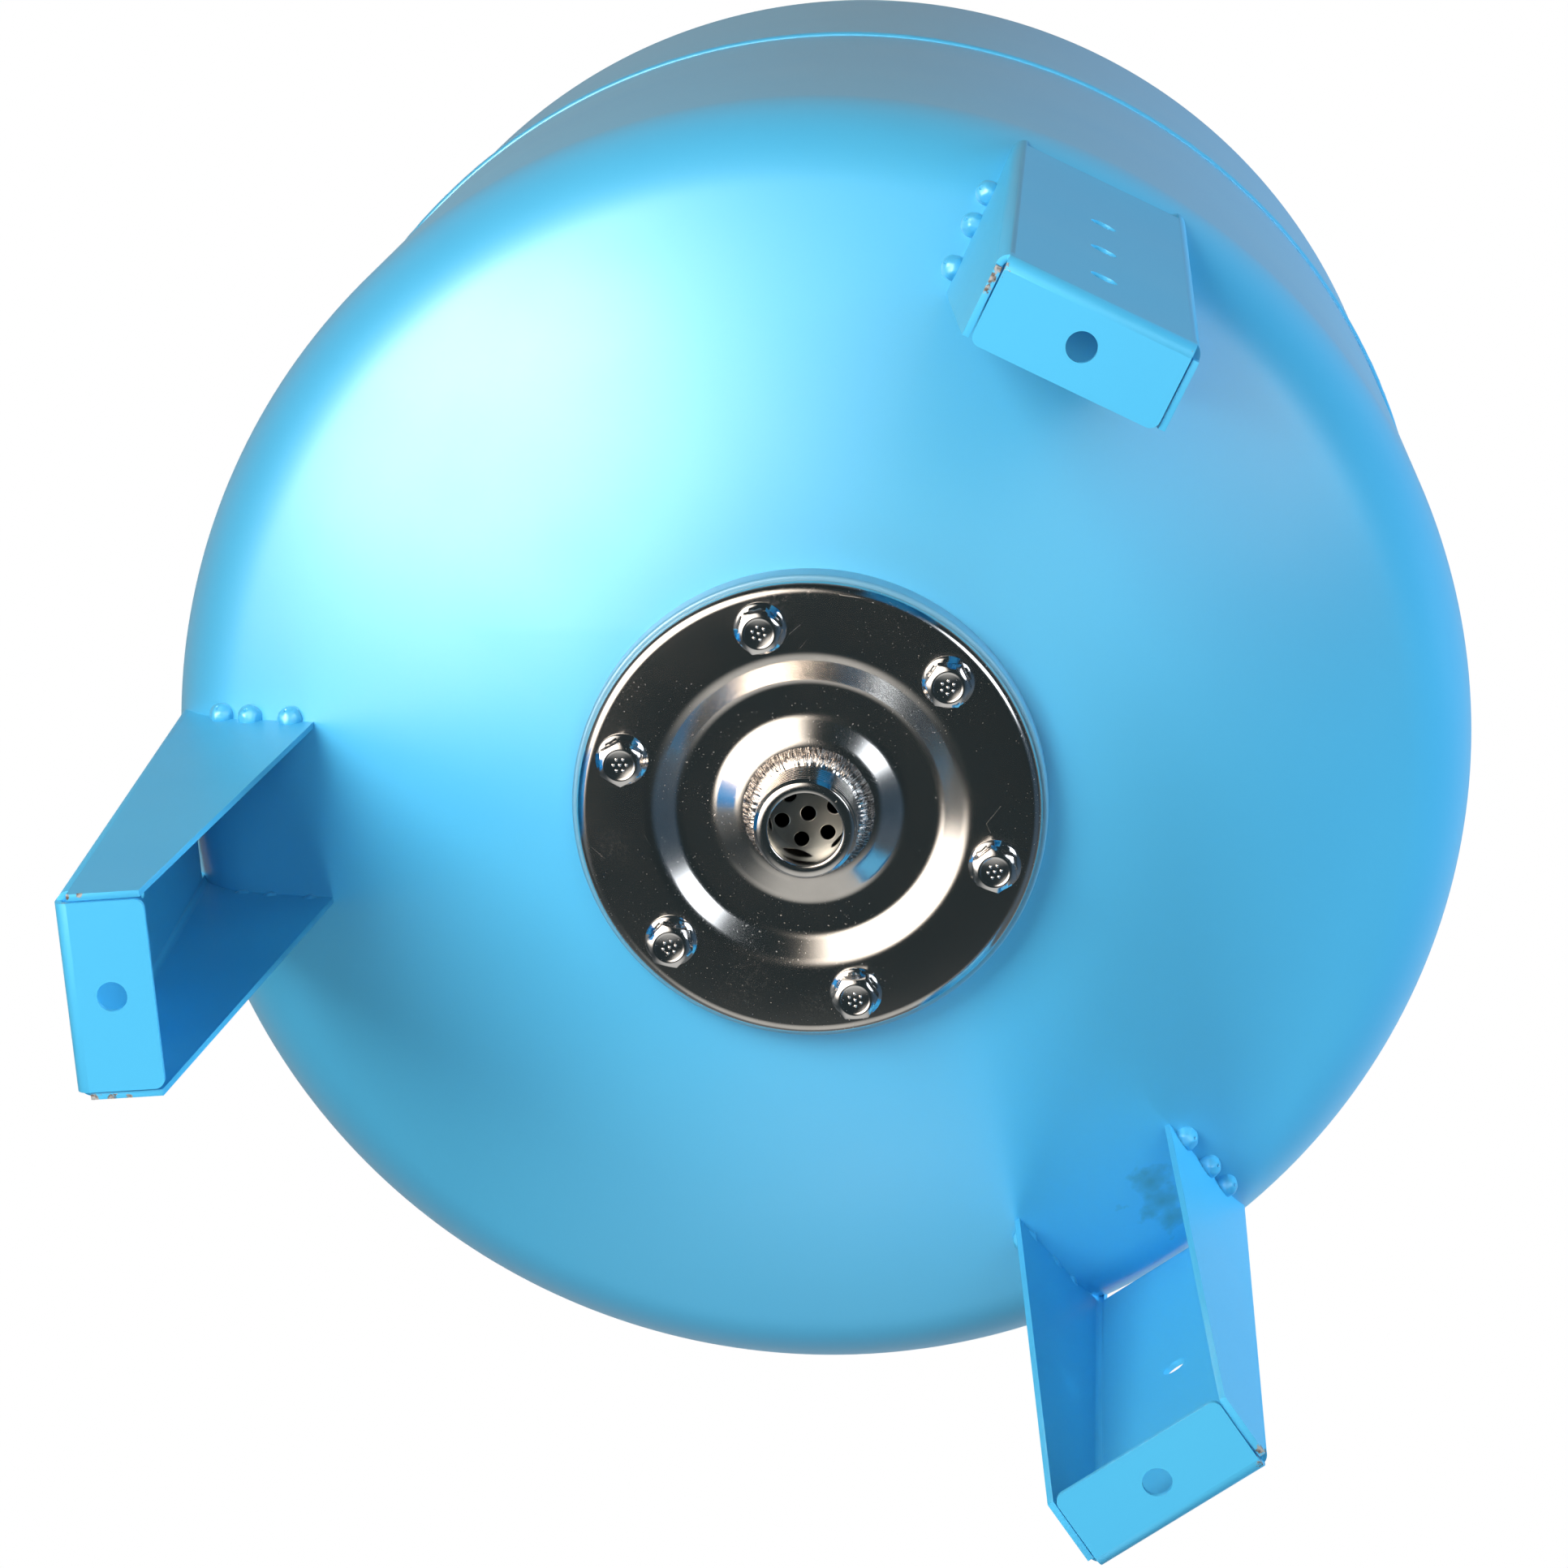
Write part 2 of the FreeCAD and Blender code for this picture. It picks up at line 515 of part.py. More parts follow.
def bladder():
    """Rubber bag with a collar that is clamped between the plate and the neck ring."""
    bag = bag_solid(0).cut(bag_solid(BAG_T))
    collar = tube(BAG_LIP_R, BAG_NECK_R - BAG_T, NECK_FACE_Z - BAG_T, NECK_FACE_Z)
    return bag.fuse(collar.cut(pressed_plate())).removeSplitter()


def leg_web_r(z):
    """Radius of the leaning web's outside face at a height."""
    return LEG_WEB_R + z * math.tan(math.radians(LEG_LEAN_DEG))


def channel_section(inset, reach):
    """U-shaped face at the floor, inset from the channel's outside, its arms ending at a radius."""
    w = LEG_HALF_WIDTH - inset
    a = inset - LEG_WEB_R
    b = LEG_BEND_R - inset
    k = b * (1 - math.sqrt(0.5))
    return Part.Face(Part.Wire([
        line(V(w, -reach, 0), V(w, a + b, 0)), arc(V(w, a + b, 0), V(w - k, a + k, 0), V(w - b, a, 0)),
        line(V(w - b, a, 0), V(b - w, a, 0)), arc(V(b - w, a, 0), V(k - w, a + k, 0), V(-w, a + b, 0)),
        line(V(-w, a + b, 0), V(-w, -reach, 0)), line(V(-w, -reach, 0), V(w, -reach, 0))]))


def leg_channel():
    """Leaning channel of one sheet, open towards the axis, as high as the tank's side."""
    arms_end_r = 2 * LEG_WEB_R - leg_web_r(SIDE_LOW_Z) - LEG_FLANGE_TOP - OVERCUT
    up = V(0, 0, SIDE_LOW_Z + 2 * OVERCUT)
    outer = channel_section(0, arms_end_r).extrude(up)
    channel = outer.cut(channel_section(LEG_SHEET, arms_end_r - OVERCUT).extrude(up))
    channel.translate(V(0, 0, -OVERCUT))
    channel.rotate(V(0, -LEG_WEB_R, 0), V(1, 0, 0), LEG_LEAN_DEG)
    return channel


def leg_side_cut():
    """Block inside the slanted inner edges of the side flanges, which widen from the foot up."""
    foot_r = LEG_WEB_R - LEG_FLANGE_FOOT
    top_r = LEG_WEB_R - LEG_FLANGE_TOP
    slope = (foot_r - top_r) / (shell_height(top_r) - LEG_FLANGE_LIFT)
    x = -LEG_HALF_WIDTH - OVERCUT

    def on_edge(z):
        return V(x, -foot_r + slope * (z - LEG_FLANGE_LIFT), z)

    low = -OVERCUT
    high = SIDE_LOW_Z + OVERCUT
    outline = Part.makePolygon([on_edge(low), on_edge(high), V(x, 0, high), V(x, 0, low), on_edge(low)])
    return Part.Face(outline).extrude(V(-2 * x, 0, 0))


def leg_foot():
    """Foot plate and the fold that joins it to the web, narrower than the channel by the slits."""
    t, bend = LEG_SHEET, LEG_BEND_R
    half = LEG_HALF_WIDTH - t - LEG_SLIT
    inner_r = LEG_WEB_R - LEG_FOOT_REACH
    lean = math.radians(LEG_LEAN_DEG)
    centre_r = LEG_WEB_R - bend * (1 - math.sin(lean)) / math.cos(lean)

    def p(r, z):
        return V(-half, -r, z)

    def on_fold(radius, degrees, up_web=0.0):
        """Point round the fold from the plate at 0, then along the web."""
        a = math.radians(degrees)
        return p(centre_r + radius * math.sin(a) + up_web * math.sin(lean),
                 bend - radius * math.cos(a) + up_web * math.cos(lean))

    fold = 90.0 - LEG_LEAN_DEG
    edges = [line(p(inner_r, 0), on_fold(bend, 0)),
             arc(on_fold(bend, 0), on_fold(bend, fold / 2), on_fold(bend, fold)),
             line(on_fold(bend, fold), on_fold(bend, fold, FOOT_TAB)),
             line(on_fold(bend, fold, FOOT_TAB), on_fold(bend - t, fold, FOOT_TAB)),
             line(on_fold(bend - t, fold, FOOT_TAB), on_fold(bend - t, fold)),
             arc(on_fold(bend - t, fold), on_fold(bend - t, fold / 2), on_fold(bend - t, 0)),
             line(on_fold(bend - t, 0), p(inner_r, t)), line(p(inner_r, t), p(inner_r, 0))]
    plate = Part.Face(Part.Wire(edges)).extrude(V(2 * half, 0, 0))
    free_corners = [e for e in plate.Edges if all(abs(v.Y + inner_r) < SAME for v in e.Vertexes)
                    and abs(e.Vertexes[0].X - e.Vertexes[-1].X) < SAME]
    plate = plate.makeFillet(FOOT_CORNER_R, free_corners)
    return plate.cut(cylinder(FOOT_HOLE_R, -OVERCUT, t + OVERCUT, V(0, FOOT_HOLE_IN - LEG_WEB_R, 0)))


def web_box(half_width, inner_r, low, high):
    """Block from outside a channel's web inwards to a radius, for cutting."""
    outer_r = leg_web_r(SIDE_LOW_Z) + OVERCUT
    return Part.makeBox(2 * half_width, outer_r - inner_r, high - low, V(-half_width, -outer_r, low))


def leg(hole_heights):
    """One folded leg, along -Y, cut to the tank's dished end, with holes through its web."""
    t, bend = LEG_SHEET, LEG_BEND_R
    wide = LEG_HALF_WIDTH + OVERCUT
    web_top = shell_height(leg_web_r(SIDE_LOW_Z - KNUCKLE_R / 2) - t) - LEG_WEB_SHORT
    above = SIDE_LOW_Z + 2 * OVERCUT
    below = -2 * OVERCUT
    cuts = [head_solid(0, APEX_LOW_Z, False, SEAM_Z), leg_side_cut(),
            web_box(LEG_HALF_WIDTH - bend, leg_web_r(web_top) - t - OVERCUT, web_top, above),
            web_box(wide, 0, below, LEG_FLANGE_LIFT), web_box(wide, LEG_WEB_R - bend, below, LEG_WEB_LIFT)]
    body = leg_channel()
    for block in cuts:
        body = body.cut(block)
    lean = math.radians(LEG_LEAN_DEG)
    inwards = V(0, math.cos(lean), math.sin(lean))
    web_holes = []
    for z in hole_heights:
        start = V(0, -leg_web_r(z), z) - inwards * OVERCUT
        web_holes.append(Part.makeCylinder(WEB_HOLE_R, t + 2 * OVERCUT, start, inwards))
    return body.fuse(leg_foot()).cut(Part.makeCompound(web_holes)).removeSplitter()


def leg_tacks(leg_solid):
    """Tack welds in the corners between the side flanges and the tank."""
    tank = head_solid(0, APEX_LOW_Z, False, SEAM_Z)
    room = 3 * TACK_R
    tacks = []
    for side in (-1, 1):
        for step in (TACK_NEAR, TACK_MIDDLE, TACK_FAR):
            x = side * (LEG_HALF_WIDTH + TACK_OUT)
            y = step - LEG_WEB_R
            centre = V(x, y, shell_height(math.hypot(x, y)) - TACK_OUT)
            face_x = LEG_HALF_WIDTH if side > 0 else -LEG_HALF_WIDTH - room
            outside = Part.makeBox(room, 2 * room, 2 * room, V(face_x, y - room, centre.z - room))
            tack = Part.makeSphere(TACK_R, centre).cut(tank).cut(leg_solid).common(outside)
            tacks += tack.Solids
    return Part.makeCompound(tacks)


def turned_to(shape, degrees):
    """Copy of a shape made along -Y, turned to point at an angle from +X."""
    copy = shape.copy()
    copy.rotate(ORIGIN, AXIS, degrees - 270.0)
    return copy


def valve_boss():
    """Steel boss: its shoulder lies on the shell and its spigot passes through."""
    low = APEX_HIGH_Z - BOSS_IN
    shoulder = cylinder(BOSS_R, low, HEX_LOW_Z).cut(head_solid(0, APEX_HIGH_Z, True, SEAM_Z))
    blank = shoulder.fuse(cylinder(BOSS_SPIGOT_R, low, HEX_LOW_Z)).removeSplitter()
    rim = [e for e in blank.Edges if is_circle(e, BOSS_R, HEX_LOW_Z)]
    bore = cylinder(BODY_SHANK_R + BODY_TAP_GAP, low - OVERCUT, HEX_LOW_Z + OVERCUT)
    groove_r = BODY_SHANK_R + 2 * (O_RING_R + O_RING_ROOM)
    groove = cylinder(groove_r, HEX_LOW_Z - O_RING_GROOVE, HEX_LOW_Z + OVERCUT)
    return blank.makeChamfer(BOSS_CHAMFER, rim).cut(bore).cut(groove)


def valve_boss_weld():
    """Fillet weld round the boss, outside."""
    return fillet_weld(BOSS_R, BOSS_WELD_LEG, 0, APEX_HIGH_Z, True)


def valve_body():
    """Brass valve: threaded shank, hexagon and stem, bored for the core."""
    low = HEX_LOW_Z - BODY_SHANK_L
    shank = cylinder(BODY_SHANK_R, low, HEX_LOW_Z + OVERCUT)
    nut = chamfered_hexagon(BODY_AF, HEX_LOW_Z, HEX_HIGH_Z, BODY_CROWN_R, True)
    c = STEM_CHAMFER
    stem = turned_points([(0, HEX_HIGH_Z - OVERCUT), (STEM_R, HEX_HIGH_Z - OVERCUT),
                          (STEM_R, STEM_TOP_Z - c), (STEM_R - c, STEM_TOP_Z), (0, STEM_TOP_Z)])
    body = shank.fuse([nut, stem]).removeSplitter()
    wide = cylinder(STEM_BORE_R, STEM_TOP_Z - STEM_SEAT_DOWN, STEM_TOP_Z + OVERCUT)
    return body.cut(wide).cut(cylinder(STEM_SEAT_R, low - OVERCUT, STEM_TOP_Z))


def valve_o_ring():
    """Seal under the valve's hexagon, in the boss."""
    mean = BODY_SHANK_R + O_RING_ROOM + O_RING_R
    return Part.makeTorus(mean, O_RING_R, V(0, 0, HEX_LOW_Z - O_RING_R))


def core_barrel():
    """Barrel of the valve core: wide head in the stem, narrow barrel with a floor for the spring."""
    head_r = STEM_BORE_R - CORE_GAP
    guide_r = PIN_R + PIN_GUIDE_GAP
    head_low = CORE_TOP_Z - CORE_HEAD_L
    return turned_points([(guide_r, CORE_TOP_Z), (head_r, CORE_TOP_Z), (head_r, head_low),
                          (CORE_R, head_low), (CORE_R, CORE_LOW_Z), (guide_r, CORE_LOW_Z),
                          (guide_r, SPRING_FLOOR_Z), (CORE_BORE_R, SPRING_FLOOR_Z),
                          (CORE_BORE_R, SPRING_CEILING_Z), (guide_r, SPRING_CEILING_Z)])


def core_gasket():
    """Soft ring round the barrel, on the shoulder in the stem."""
    shoulder = STEM_TOP_Z - STEM_SEAT_DOWN
    return tube(STEM_BORE_R - CORE_GAP, CORE_R + CORE_GAP, shoulder, shoulder + GASKET_T)


def core_pin():
    """Pin through the core, with a collar that the spring pushes up and a washer for the seal."""
    top = CORE_TOP_Z + PIN_PROUD
    washer_high = CORE_LOW_Z - SEAL_SEAT_GAP - SEAL_T
    washer_low = washer_high - PIN_PLATE_T
    foot = washer_high - PIN_FOOT_L
    return turned_points([(0, top), (PIN_R - PIN_TIP / 2, top), (PIN_R, top - PIN_TIP),
                          (PIN_R, COLLAR_HIGH_Z), (PIN_COLLAR_R, COLLAR_HIGH_Z),
                          (PIN_COLLAR_R, COLLAR_LOW_Z), (PIN_R, COLLAR_LOW_Z),
                          (PIN_R, washer_high), (PIN_PLATE_R, washer_high), (PIN_PLATE_R, washer_low),
                          (PIN_R, washer_low), (PIN_R - PIN_TIP / 2, foot), (0, foot)])


def core_seal():
    """Soft washer on the pin that closes the barrel from below."""
    high = CORE_LOW_Z - SEAL_SEAT_GAP
    return tube(SEAL_R, PIN_R + SEAL_BORE_GAP, high - SEAL_T, high)


def core_spring():
    """Coil spring between the barrel's floor and the pin's collar."""
    low = SPRING_FLOOR_Z + SPRING_GAP + SPRING_WIRE_R
    rise = COLLAR_LOW_Z - SPRING_GAP - SPRING_WIRE_R - low
    pitch = rise / SPRING_TURNS
    helix = Part.makeHelix(pitch, rise, SPRING_R)
    helix.translate(V(0, 0, low))
    climb = math.atan2(pitch, 2 * math.pi * SPRING_R)
    tangent = V(0, math.cos(climb), math.sin(climb))
    section = Part.Wire(Part.Circle(V(SPRING_R, 0, low), tangent, SPRING_WIRE_R).toShape())
    return Part.Wire(helix).makePipeShell([section], True, True)


def valve_cap():
    """Plastic cap with a ribbed grip, open downwards round the stem."""
    low = HEX_HIGH_Z + CAP_UP
    inside_top = STEM_TOP_Z + CAP_SEAL_GAP + CAP_SEAL_T
    high = inside_top + CAP_TOP_T
    crown_low = high - CAP_CROWN
    outer = turned_points([(0, low), (CAP_R, low), (CAP_R, crown_low), (CAP_R - CAP_CROWN, high), (0, high)])
    grooves = []
    for k in range(CAP_GRIP_COUNT):
        place = polar(CAP_R + CAP_GRIP_OUT, 360.0 / CAP_GRIP_COUNT * k)
        grooves.append(cylinder(CAP_GRIP_R, low - OVERCUT, crown_low - CAP_GRIP_END, place))
    return outer.cut(cylinder(STEM_R + CAP_GAP, low - OVERCUT, inside_top)).cut(Part.makeCompound(grooves))


def cap_seal():
    """Soft ring inside the cap's top."""
    low = STEM_TOP_Z + CAP_SEAL_GAP
    return tube(STEM_R + CAP_GAP - CAP_SEAL_SIDE_GAP, STEM_BORE_R - CAP_SEAL_BORE_IN, low, low + CAP_SEAL_T)


def all_parts():
    """Every sub-part by its name."""
    parts = {
        "lower_shell": lower_shell(), "upper_shell": upper_shell(), "girth_weld": girth_weld(),
        "neck_ring": neck_ring(), "neck_weld": neck_weld(), "flange_plate": flange_plate(),
        "inlet_nipple": inlet_nipple(), "nipple_weld": nipple_weld(), "strainer_disc": strainer_disc(),
        "flange_bolts": flange_bolts(), "bladder": bladder(), "valve_boss": valve_boss(),
        "valve_boss_weld": valve_boss_weld(), "valve_body": valve_body(), "valve_o_ring": valve_o_ring(),
        "core_barrel": core_barrel(), "core_gasket": core_gasket(), "core_pin": core_pin(),
        "core_seal": core_seal(), "core_spring": core_spring(), "valve_cap": valve_cap(),
        "cap_seal": cap_seal(),
    }
    leg_a = leg([WEB_HOLE_FIRST + WEB_HOLE_PITCH * k for k in range(WEB_HOLE_COUNT)])
    other_leg = leg([LONE_HOLE_UP])
    tacks = leg_tacks(other_leg)
    for k in range(LEG_COUNT):
        name = "leg_" + "abcdefgh"[k]
        angle = LEG_START + 360.0 / LEG_COUNT * k
        parts[name] = turned_to(other_leg if k else leg_a, angle)
        parts[name + "_tacks"] = turned_to(tacks, angle)
    return parts


def main():
    os.makedirs("parts", exist_ok=True)
    for name, shape in all_parts().items():
        box = shape.BoundBox
        print(f"{name:16s} solids {len(shape.Solids)} valid {shape.isValid()} faces {len(shape.Faces)} "
              f"volume {shape.Volume / 1000:9.3f} cm3 z {box.ZMin:7.2f} to {box.ZMax:7.2f}")
        shape.exportStep(f"parts/{name}.step")


main()
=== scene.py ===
"""Looks of an upright bladder tank on three folded legs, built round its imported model.

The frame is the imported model's: +Z up, the origin on the tank's axis on the floor. Pieces are
shaped in millimetres and turned into metres when they are added. Leg A points along -Y.
"""
import json
import math
from functools import partial
import bmesh
import bpy
from mathutils import Matrix, Vector, noise

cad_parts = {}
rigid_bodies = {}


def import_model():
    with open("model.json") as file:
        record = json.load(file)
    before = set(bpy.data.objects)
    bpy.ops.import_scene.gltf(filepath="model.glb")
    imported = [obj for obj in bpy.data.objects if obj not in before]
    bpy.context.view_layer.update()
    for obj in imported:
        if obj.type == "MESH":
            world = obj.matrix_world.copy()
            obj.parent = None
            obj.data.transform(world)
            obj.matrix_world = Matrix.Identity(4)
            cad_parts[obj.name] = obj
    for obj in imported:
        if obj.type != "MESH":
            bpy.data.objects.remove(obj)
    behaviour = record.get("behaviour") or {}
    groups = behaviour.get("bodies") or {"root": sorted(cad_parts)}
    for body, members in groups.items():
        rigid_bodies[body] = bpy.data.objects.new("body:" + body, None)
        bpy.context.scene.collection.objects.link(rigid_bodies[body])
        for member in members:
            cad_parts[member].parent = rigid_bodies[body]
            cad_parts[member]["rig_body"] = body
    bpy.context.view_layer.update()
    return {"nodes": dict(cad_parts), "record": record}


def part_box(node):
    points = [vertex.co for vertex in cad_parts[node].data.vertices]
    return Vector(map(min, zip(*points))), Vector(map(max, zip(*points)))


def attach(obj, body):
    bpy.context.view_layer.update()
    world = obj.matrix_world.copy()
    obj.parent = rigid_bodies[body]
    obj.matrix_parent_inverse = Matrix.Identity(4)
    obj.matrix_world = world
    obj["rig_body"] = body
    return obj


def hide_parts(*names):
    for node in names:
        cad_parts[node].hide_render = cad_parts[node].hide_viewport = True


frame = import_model()

MM = 0.001
FULL_TURN = 2 * math.pi
WELD_DIST = 1e-4            # points nearer than this are one
SHARP_DEG = 32.0            # edges that turn more than this are shaded crisp
BEVEL_DEG = 30.0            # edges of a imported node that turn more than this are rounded
FLAT_ANGLE = 0.004          # faces that turn less than this, in radians, are one flat region


def low(node):
    """Lowest height of a node, in millimetres."""
    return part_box(node)[0].z / MM


def high(node):
    """Highest height of a node, in millimetres."""
    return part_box(node)[1].z / MM


def reach(node):
    """Radius of a node that is turned about the tank's axis, in millimetres."""
    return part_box(node)[1].x / MM


# Sizes of the frame
TANK_R = reach("lower_shell")
SEAM_Z = high("lower_shell")
NECK_R = reach("neck_ring")
NECK_FACE_Z = low("neck_ring")
PLATE_R = reach("flange_plate")
FACE_Z = low("flange_plate")
PIPE_R = reach("inlet_nipple")
PIPE_LOW = low("inlet_nipple")
PIPE_HIGH = high("inlet_nipple")
PIPE_WELD_R = reach("nipple_weld")
PIPE_WELD_LOW = low("nipple_weld")
PIPE_WELD_HIGH = high("nipple_weld")
BEAD_HALF = (high("girth_weld") - low("girth_weld")) / 2
BEAD_OUT = reach("girth_weld") - TANK_R
BOSS_TOP = high("valve_boss")
BOSS_R = reach("valve_boss")
STEM_TOP = high("valve_body")
CAP_LOW = low("valve_cap")
CAP_TOP = high("valve_cap")
CAP_R = reach("valve_cap")

# Shape of the shells
WALL = 1.5
CROWN_R = 440.0
KNUCKLE_R = 44.0
NECK_HOLE_R = 71.9
BOSS_HOLE_R = 11.2
LIP_LOW = low("upper_shell")
LIP_IN = 1.65
JOGGLE = 5.0

# Shape of the water connection
PLATE_T = 2.5
PLATE_RIM = 4.6
PLATE_EDGE_R = 3.6
FACE_WIDTH = 24.0
RECESS = 4.4
RECESS_SLOPE = 8.8
HUB_LAND = 5.88
HUB_SLOPE = 8.4
HUB_DROP = 0.6
NECK_BORE_R = 52.6
NECK_SPIGOT_R = 71.6
PIPE_BORE_R = 11.9
PIPE_NECK_R = 16.02
PIPE_CHAMFER = 1.3
DISC_SEAT_R = 13.1
DISC_Z = low("strainer_disc")
DISC_EDGE = 0.12
DISC_FLAT_AREA = 60.0
THREAD_PITCH = 2.309
THREAD_DEPTH = 0.7
PIPE_ROW = 0.16             # height of the rows that carry the pipe's thread
WELD_SWELL = 0.16           # share of its width by which the pipe's weld bulges
PRESS_R = 10.0              # rounding of the pressed corners, on their outer side

# Flange bolts
BOLT_COUNT = 6
BOLT_CIRCLE_R = 62.4
BOLT_START_DEG = 50.3
BOLT_TURN_DEG = 17.0
BOLT_SEAT_R = 8.5
BOLT_SEAT_T = 2.2
BOLT_AF = 13.0
BOLT_CROWN_R = 5.4
BOLT_HEAD_H = 8.4
BOLT_R = 4.0
BOLT_LENGTH = 16.0
DOT_RING_R = 2.1
DOT_R = 0.55

# Legs
LEG_NAMES = ("leg_a", "leg_b", "leg_c")
LEG_START_DEG = 270.0
LEG_SPACING_DEG = 120.0
LEG_WEB_R = 209.5
LEG_HALF_WIDTH = 31.3
LEG_EDGE = 0.35
LEG_FLAT_AREA = 500.0       # faces of a leg over this, in square millimetres, are kept flat
TACK_R = 4.4
TACK_OUT = 1.32
TACK_STEPS = (12.0, 22.5, 37.0)

# Air valve
BOSS_BORE_R = 6.63
BOSS_SPIGOT_R = 11.0
SEAL_GROOVE_R = 8.68
SEAL_GROOVE_DEPTH = 1.95
BODY_AF = 17.0
BODY_CROWN_R = 8.1
BODY_HEX_H = 7.0
BODY_BORE_R = 2.0
SHANK_R = 6.58
STEM_R = 3.85
STEM_CHAMFER = 0.7
STEM_BORE_R = 2.62
STEM_BORE_DEPTH = 9.0
STEM_PITCH = 0.794
STEM_THREAD_DEPTH = 0.4
CAP_BORE_R = STEM_R + 0.25
CAP_ROOF = 2.0
CAP_CHAMFER = 1.2
CAP_RIBS = 24
CAP_RIB_DEPTH = 0.3

# The photograph's view
CAMERA_AT = Vector((-0.09613, -0.36712, -1.24665))
LOOK_AT = Vector((-0.01111, -0.00499, 0.16))
PICTURE_UP = Vector((-0.42602, -0.8696, 0.24962))
CAMERA_LENS = 103.98
SENSOR = 36.0


def crown_sag(radius):
    """How far the dished end's crown falls from its apex at a radius."""
    return CROWN_R - math.sqrt(CROWN_R ** 2 - radius ** 2)


# Sizes that follow from those above
HEAD_LEAN_DEG = math.degrees(math.asin((TANK_R - KNUCKLE_R) / (CROWN_R - KNUCKLE_R)))
HEAD_DEPTH = CROWN_R - math.sqrt((CROWN_R - KNUCKLE_R) ** 2 - (TANK_R - KNUCKLE_R) ** 2)
APEX_LOW = low("lower_shell") - crown_sag(NECK_HOLE_R)
APEX_HIGH = high("upper_shell") + crown_sag(BOSS_HOLE_R)
SIDE_LOW = APEX_LOW + HEAD_DEPTH
SIDE_HIGH = APEX_HIGH - HEAD_DEPTH
HUB_TOP_R = PIPE_R + HUB_LAND
HUB_FOOT_R = HUB_TOP_R + HUB_SLOPE
RECESS_OUTER_R = PLATE_R - FACE_WIDTH
RECESS_FLOOR_R = RECESS_OUTER_R - RECESS_SLOPE
HUB_Z = FACE_Z + HUB_DROP


def smooth_step(value, start, end):
    """0 before start and 1 after end, with a soft change between them."""
    share = min(1.0, max(0.0, (value - start) / (end - start)))
    return share * share * (3 - 2 * share)


def grow(tree, kind, inputs=(), **settings):
    """A new node in a tree, with its settings, and its inputs as values or other nodes' outputs."""
    made = tree.nodes.new(kind)
    for key, value in settings.items():
        setattr(made, key, value)
    for key, value in dict(inputs).items():
        if isinstance(value, bpy.types.NodeSocket):
            tree.links.new(value, made.inputs[key])
        else:
            made.inputs[key].default_value = value
    return made


def vector_work(add, operation, a, b=(0, 0, 0), output="Vector"):
    """Arithmetic on vectors, by a tree's own way to add nodes. SCALE takes a number as b."""
    second = "Scale" if operation == "SCALE" else 1
    return add("ShaderNodeVectorMath", {0: a, second: b}, operation=operation).outputs[output]


class Finish:
    """A material under construction: its tree, its shader and short ways to add nodes."""

    def __init__(self, name, **settings):
        self.material = bpy.data.materials.new(name)
        self.material.use_nodes = True
        self.tree = self.material.node_tree
        self.shader = self.tree.nodes["Principled BSDF"]
        for key, value in settings.items():
            self.shader.inputs[key.replace("_", " ")].default_value = value
        self.add = partial(grow, self.tree)
        self.vector = partial(vector_work, self.add)
        self.place = self.add("ShaderNodeTexCoord").outputs["Object"]

    def into(self, socket, value):
        """Links a value to one of the shader's inputs."""
        self.tree.links.new(value, self.shader.inputs[socket])

    def noise(self, scale, detail=2.0, roughness=0.5):
        """Noise of so many lumps to the metre."""
        return self.add("ShaderNodeTexNoise", {"Vector": self.place, "Scale": scale,
                                               "Detail": detail, "Roughness": roughness}
                        ).outputs["Fac"]

    def spread(self, value, start, end, to_start=0.0, to_end=1.0):
        """A value moved from one range to another and held within it."""
        return self.add("ShaderNodeMapRange", {"Value": value, "From Min": start, "From Max": end,
                                               "To Min": to_start, "To Max": to_end}
                        ).outputs["Result"]

    def work(self, operation, a, b=0.0):
        """Arithmetic on two numbers."""
        return self.add("ShaderNodeMath", {0: a, 1: b}, operation=operation).outputs["Value"]

    def blend(self, share, a, b):
        """Colour between a and b."""
        return self.add("ShaderNodeMix", {0: share, 6: a, 7: b}, data_type="RGBA").outputs[2]

    def distance(self, point):
        """Distance in metres from a point given in millimetres."""
        return self.vector("DISTANCE", self.place, tuple(x * MM for x in point), "Value")

    def spots(self, points, ragged=0.5, fine=900.0, core=0.75):
        """1 in the core of ragged spots (x, y, z, radius) in millimetres, 0 outside them."""
        lumps = self.spread(self.noise(fine, 4.0), 0.3, 0.7, 1 - ragged, 1 + ragged)
        return self.most(*(self.spread(self.work("MULTIPLY", self.distance((x, y, z)), lumps),
                                       size * MM, size * MM * core) for x, y, z, size in points))

    def stroke(self, start, end, width):
        """1 on the line between two points and 0 beyond a width of it, all in millimetres."""
        a, b = Vector(start) * MM, Vector(end) * MM
        run = b - a
        here = self.vector("SUBTRACT", self.place, a)
        along = self.vector("DOT_PRODUCT", here, run / run.length_squared, "Value")
        foot = self.vector("SCALE", run, self.spread(along, 0, 1))
        off = self.vector("DISTANCE", here, foot, "Value")
        return self.spread(off, width * MM, width * MM * 0.4)

    def most(self, *values):
        """The highest of some values."""
        total = values[0]
        for value in values[1:]:
            total = self.work("MAXIMUM", total, value)
        return total

    def bump(self, *layers):
        """Relief from layers of (height, depth in millimetres)."""
        normal = None
        for height, depth in layers:
            inputs = {"Height": height, "Distance": depth * MM, "Strength": 1.0}
            if normal is not None:
                inputs["Normal"] = normal
            normal = self.add("ShaderNodeBump", inputs).outputs["Normal"]
        self.into("Normal", normal)


